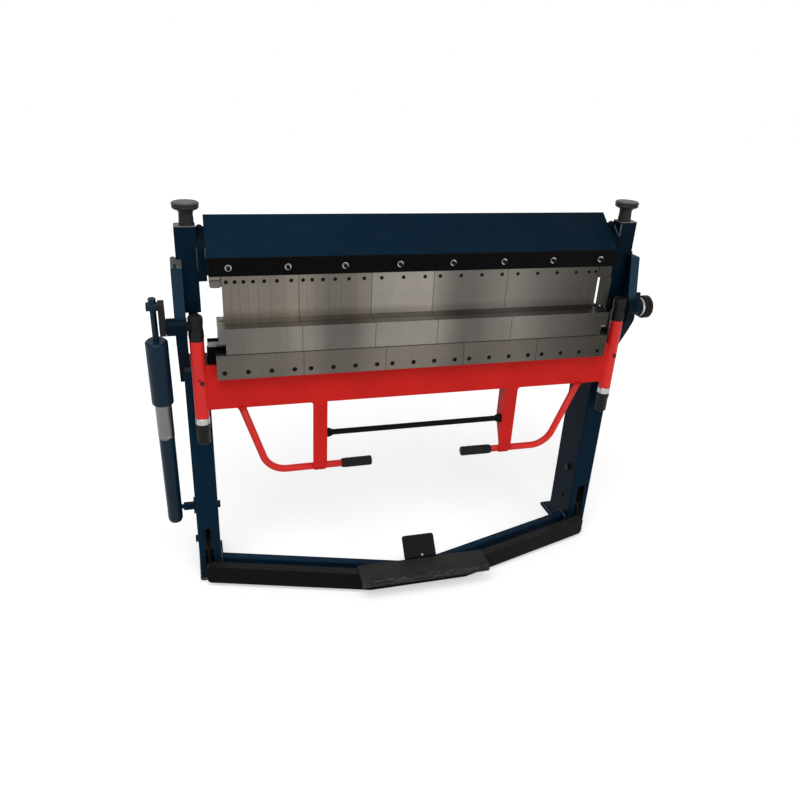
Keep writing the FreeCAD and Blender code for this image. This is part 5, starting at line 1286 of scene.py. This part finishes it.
class BRAKE_OT_fit_grips(Operator):
    """Pull ribbed rubber grips over the ends of the handle pipes"""

    bl_idname = "brake.fit_grips"
    bl_label = "Fit the grips"

    def execute(self, context):
        rubber = grip_rubber("Grip Rubber")
        grips = add_piece("ribbed_grips", self.grips, rubber, "leaf")
        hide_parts("hand_grips")
        return {"FINISHED"}

    def grips(self, build):
        """One over the end of each pipe, from its mouth to its round end."""
        for side in SIDES:
            mouth, end, end_height = HANDLES[side]["grip"]
            mouth = Vector((side * mouth, PIPE_DEPTH, 446.6)) * MM
            end = Vector((side * end, PIPE_DEPTH, end_height)) * MM
            add_turned(build, mouth, end - mouth, self.profile((end - mouth).length))

    def profile(self, length):
        """Tapered mouth, ribs and a closed round end, as (distance, radius) in metres."""
        settings = bpy.context.scene.brake_grip
        radius = settings.radius
        first, last = 0.020, length - 0.012
        pitch = (last - first) / settings.ribs
        shape = [(0.0, 0.0119), (0.0, 0.0134), (0.0012, 0.0146), (0.004, 0.0156),
                 (0.009, 0.0160)]
        for rib in range(settings.ribs):
            at = first + pitch * rib
            shape += [(at, radius), (at + pitch * 0.62, radius),
                      (at + pitch * 0.72, radius - settings.depth),
                      (at + pitch * 0.90, radius - settings.depth)]
        return shape + [(last, radius), (length, radius), (length + 0.0018, radius - 0.0007),
                        (length + 0.0032, radius - 0.0024), (length + 0.0038, radius - 0.006),
                        (length + 0.0039, 0.0)]


class BRAKE_OT_add_end_details(Operator):
    """Add the end plate of the finger row, the rail's ends and the gusset bumps"""

    bl_idname = "brake.add_end_details"
    bl_label = "Add the end details"

    lug_end = 667.0

    def execute(self, context):
        looks = bpy.data.materials
        # The end plate's steel is the blade steel darkened: painted shade.
        dark = bare_steel("End Plate Steel", tinted(context.scene.brake_steel.blade, 0.20),
                          bands=0.0)
        add_piece("row_end_plate", self.end_plate, dark, "clamp", smooth=False)
        add_piece("row_end_block", self.end_block, looks["Finger Steel Wide"], "clamp",
                  smooth=False)
        add_piece("gusset_bumps", self.bumps, looks["Navy Enamel Guide"], "clamp")
        add_piece("rail_ends", self.rail_ends, looks["Bright Rail"], "frame",
                  smooth=False)
        add_piece("strip_ends", self.strip_ends, looks["Satin Black"], "frame",
                  smooth=False)
        add_piece("sleeve_skirt", self.skirt, looks["Balancer Steel"], "balancer_lower")
        bolts = add_piece("short_frame_bolts", self.bolts, looks["Black Oxide"], "frame",
                          smooth=False)
        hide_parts("frame_bolts")
        add_piece("cheek_slot", self.cheek_slot, looks["Black Oxide"], "frame",
                  smooth=False)
        return {"FINISHED"}

    def end_plate(self, build):
        """Dark plate that closes the row at the right, behind a narrow slit; its darkness is
        painted shade.
        """
        add_block(build, (621.5, 26.4, 962.0), (664.0, 29.7, 1060.0))

    def end_block(self, build):
        """Its light upper part, level with the fingers."""
        add_block(build, (613.8, 28.4, 1060.0), (660.0, 29.7, 1104.0))

    def bumps(self, build):
        """Rounded tops of the gussets beside the guide boxes."""
        thick, radius = 0.0118, 0.0105
        for side in SIDES:
            add_turned(build, Vector((side * 666.5, 84.0, 1223.5)) * MM, Vector((0.0, 1.0, 0.0)),
                       ((0.0, radius), (thick, radius)), 32)

    def add_lugs(self, build, node, foot=None):
        """Lengthens the front edge of a bed piece at both ends."""
        low, high = corners_of(node)
        foot = low.z if foot is None else foot
        for side in SIDES:
            across = sorted((side * self.lug_end, side * high.x))
            add_block(build, (across[0], 12.0, foot), (across[1], 18.0, high.z))

    def rail_ends(self, build):
        self.add_lugs(build, "bed_rail", 888.3)

    def strip_ends(self, build):
        self.add_lugs(build, "bed_strip")

    def skirt(self, build):
        """The bare sleeve reaches a little further down over the lower tube."""
        foot, head = Vector((-810.0, 96.0, 280.0)) * MM, Vector((-810.0, 0.0, 1024.0)) * MM
        way = (head - foot).normalized()
        start, long, radius = 0.2975, 0.0150, 0.0250
        add_turned(build, foot + way * start, way, ((0.0, radius), (long, radius)), 48)

    def bolts(self, build):
        """The lower bolts end inside the columns."""
        lower_row, inner_end = 0.2, 0.674
        build.from_mesh(frame["nodes"]["frame_bolts"].data)
        for corner in build.verts:
            if corner.co.z < lower_row and abs(corner.co.x) < inner_end:
                corner.co.x = math.copysign(inner_end, corner.co.x)

    def cheek_slot(self, build):
        """A small dark slot over the shoulder of the left cheek, from its front to its top: a
        black block that paints the shade in the slot.
        """
        outline = ((19.5, 1124.9), (19.5, 1130.3), (30.8, 1137.2), (31.3, 1136.3),
                   (20.6, 1129.6), (20.6, 1124.9))
        add_rings(build, [[Vector((across, deep, height)) * MM for deep, height in outline]
                          for across in (-744.5, -737.9)])


class BRAKE_OT_mark_scale(Operator):
    """Cut degree marks round the stop ring"""

    bl_idname = "brake.mark_scale"
    bl_label = "Mark the stop ring"

    first_stroke, step = 30.0, 5.0
    strokes, every_long = 28, 3

    def execute(self, context):
        ink = oxide("Scale Ink", (0.012, 0.012, 0.012), 0.5, 0.0, 0.0002)
        add_piece("scale_marks", self.marks, ink, "swing", smooth=False)
        return {"FINISHED"}

    def marks(self, build):
        """Short and long strokes across the ring's rim, sunk a little into it."""
        low, high = corners_of("stop_ring")
        radius, pivot = (high.z - low.z) / 2, (high.z + low.z) / 2
        half_wide, under, over = 0.28, radius - 0.3, radius + 0.03
        for n in range(self.strokes):
            turn = math.radians(self.first_stroke + n * self.step)
            reach = 7.5 if n % self.every_long == 0 else 4.5
            out = Vector((0.0, -math.sin(turn), math.cos(turn)))
            side = Vector((0.0, math.cos(turn), math.sin(turn))) * half_wide
            rings = []
            for across in (low.x + 0.6, low.x + 0.6 + reach):
                base = Vector((across, 0.0, pivot))
                rings.append([point * MM for point in
                              (base + out * under - side, base + out * under + side,
                               base + out * over + side, base + out * over - side)])
            add_rings(build, rings)


class BRAKE_PT_bench(Panel):
    """The machine's pieces, in the order in which they are finished"""

    bl_label = "Box and Pan Brake"
    bl_idname = "BRAKE_PT_bench"
    bl_space_type = "VIEW_3D"
    bl_region_type = "UI"
    bl_category = "Brake"

    def draw(self, context):
        layout = self.layout
        for place, group in SETTINGS:
            box = layout.box()
            for name in group.__annotations__:
                box.prop(getattr(context.scene, place), name)
        for step in STEPS:
            layout.operator(step.bl_idname)


STEPS = (
    BRAKE_OT_lay_stage,
    BRAKE_OT_paint_frame,
    BRAKE_OT_paint_leaf,
    BRAKE_OT_paint_black,
    BRAKE_OT_grind_jaws,
    BRAKE_OT_finish_fittings,
    BRAKE_OT_run_welds,
    BRAKE_OT_set_grub_screws,
    BRAKE_OT_bend_handles,
    BRAKE_OT_fit_grips,
    BRAKE_OT_add_end_details,
    BRAKE_OT_mark_scale,
)
SETTINGS = (
    ("brake_paint", PaintSettings),
    ("brake_steel", SteelSettings),
    ("brake_weld", WeldSettings),
    ("brake_handle", HandleSettings),
    ("brake_grip", GripSettings),
    ("brake_stage", StageSettings),
)


def register():
    for name, group in SETTINGS:
        bpy.utils.register_class(group)
        setattr(bpy.types.Scene, name, PointerProperty(type=group))
    for step in STEPS:
        bpy.utils.register_class(step)
    bpy.utils.register_class(BRAKE_PT_bench)


def unregister():
    bpy.utils.unregister_class(BRAKE_PT_bench)
    for step in reversed(STEPS):
        bpy.utils.unregister_class(step)
    for name, group in reversed(SETTINGS):
        delattr(bpy.types.Scene, name)
        bpy.utils.unregister_class(group)


def main():
    register()
    for step in STEPS:
        family, action = step.bl_idname.split(".")
        getattr(getattr(bpy.ops, family), action)()


if __name__ == "__main__":
    main()
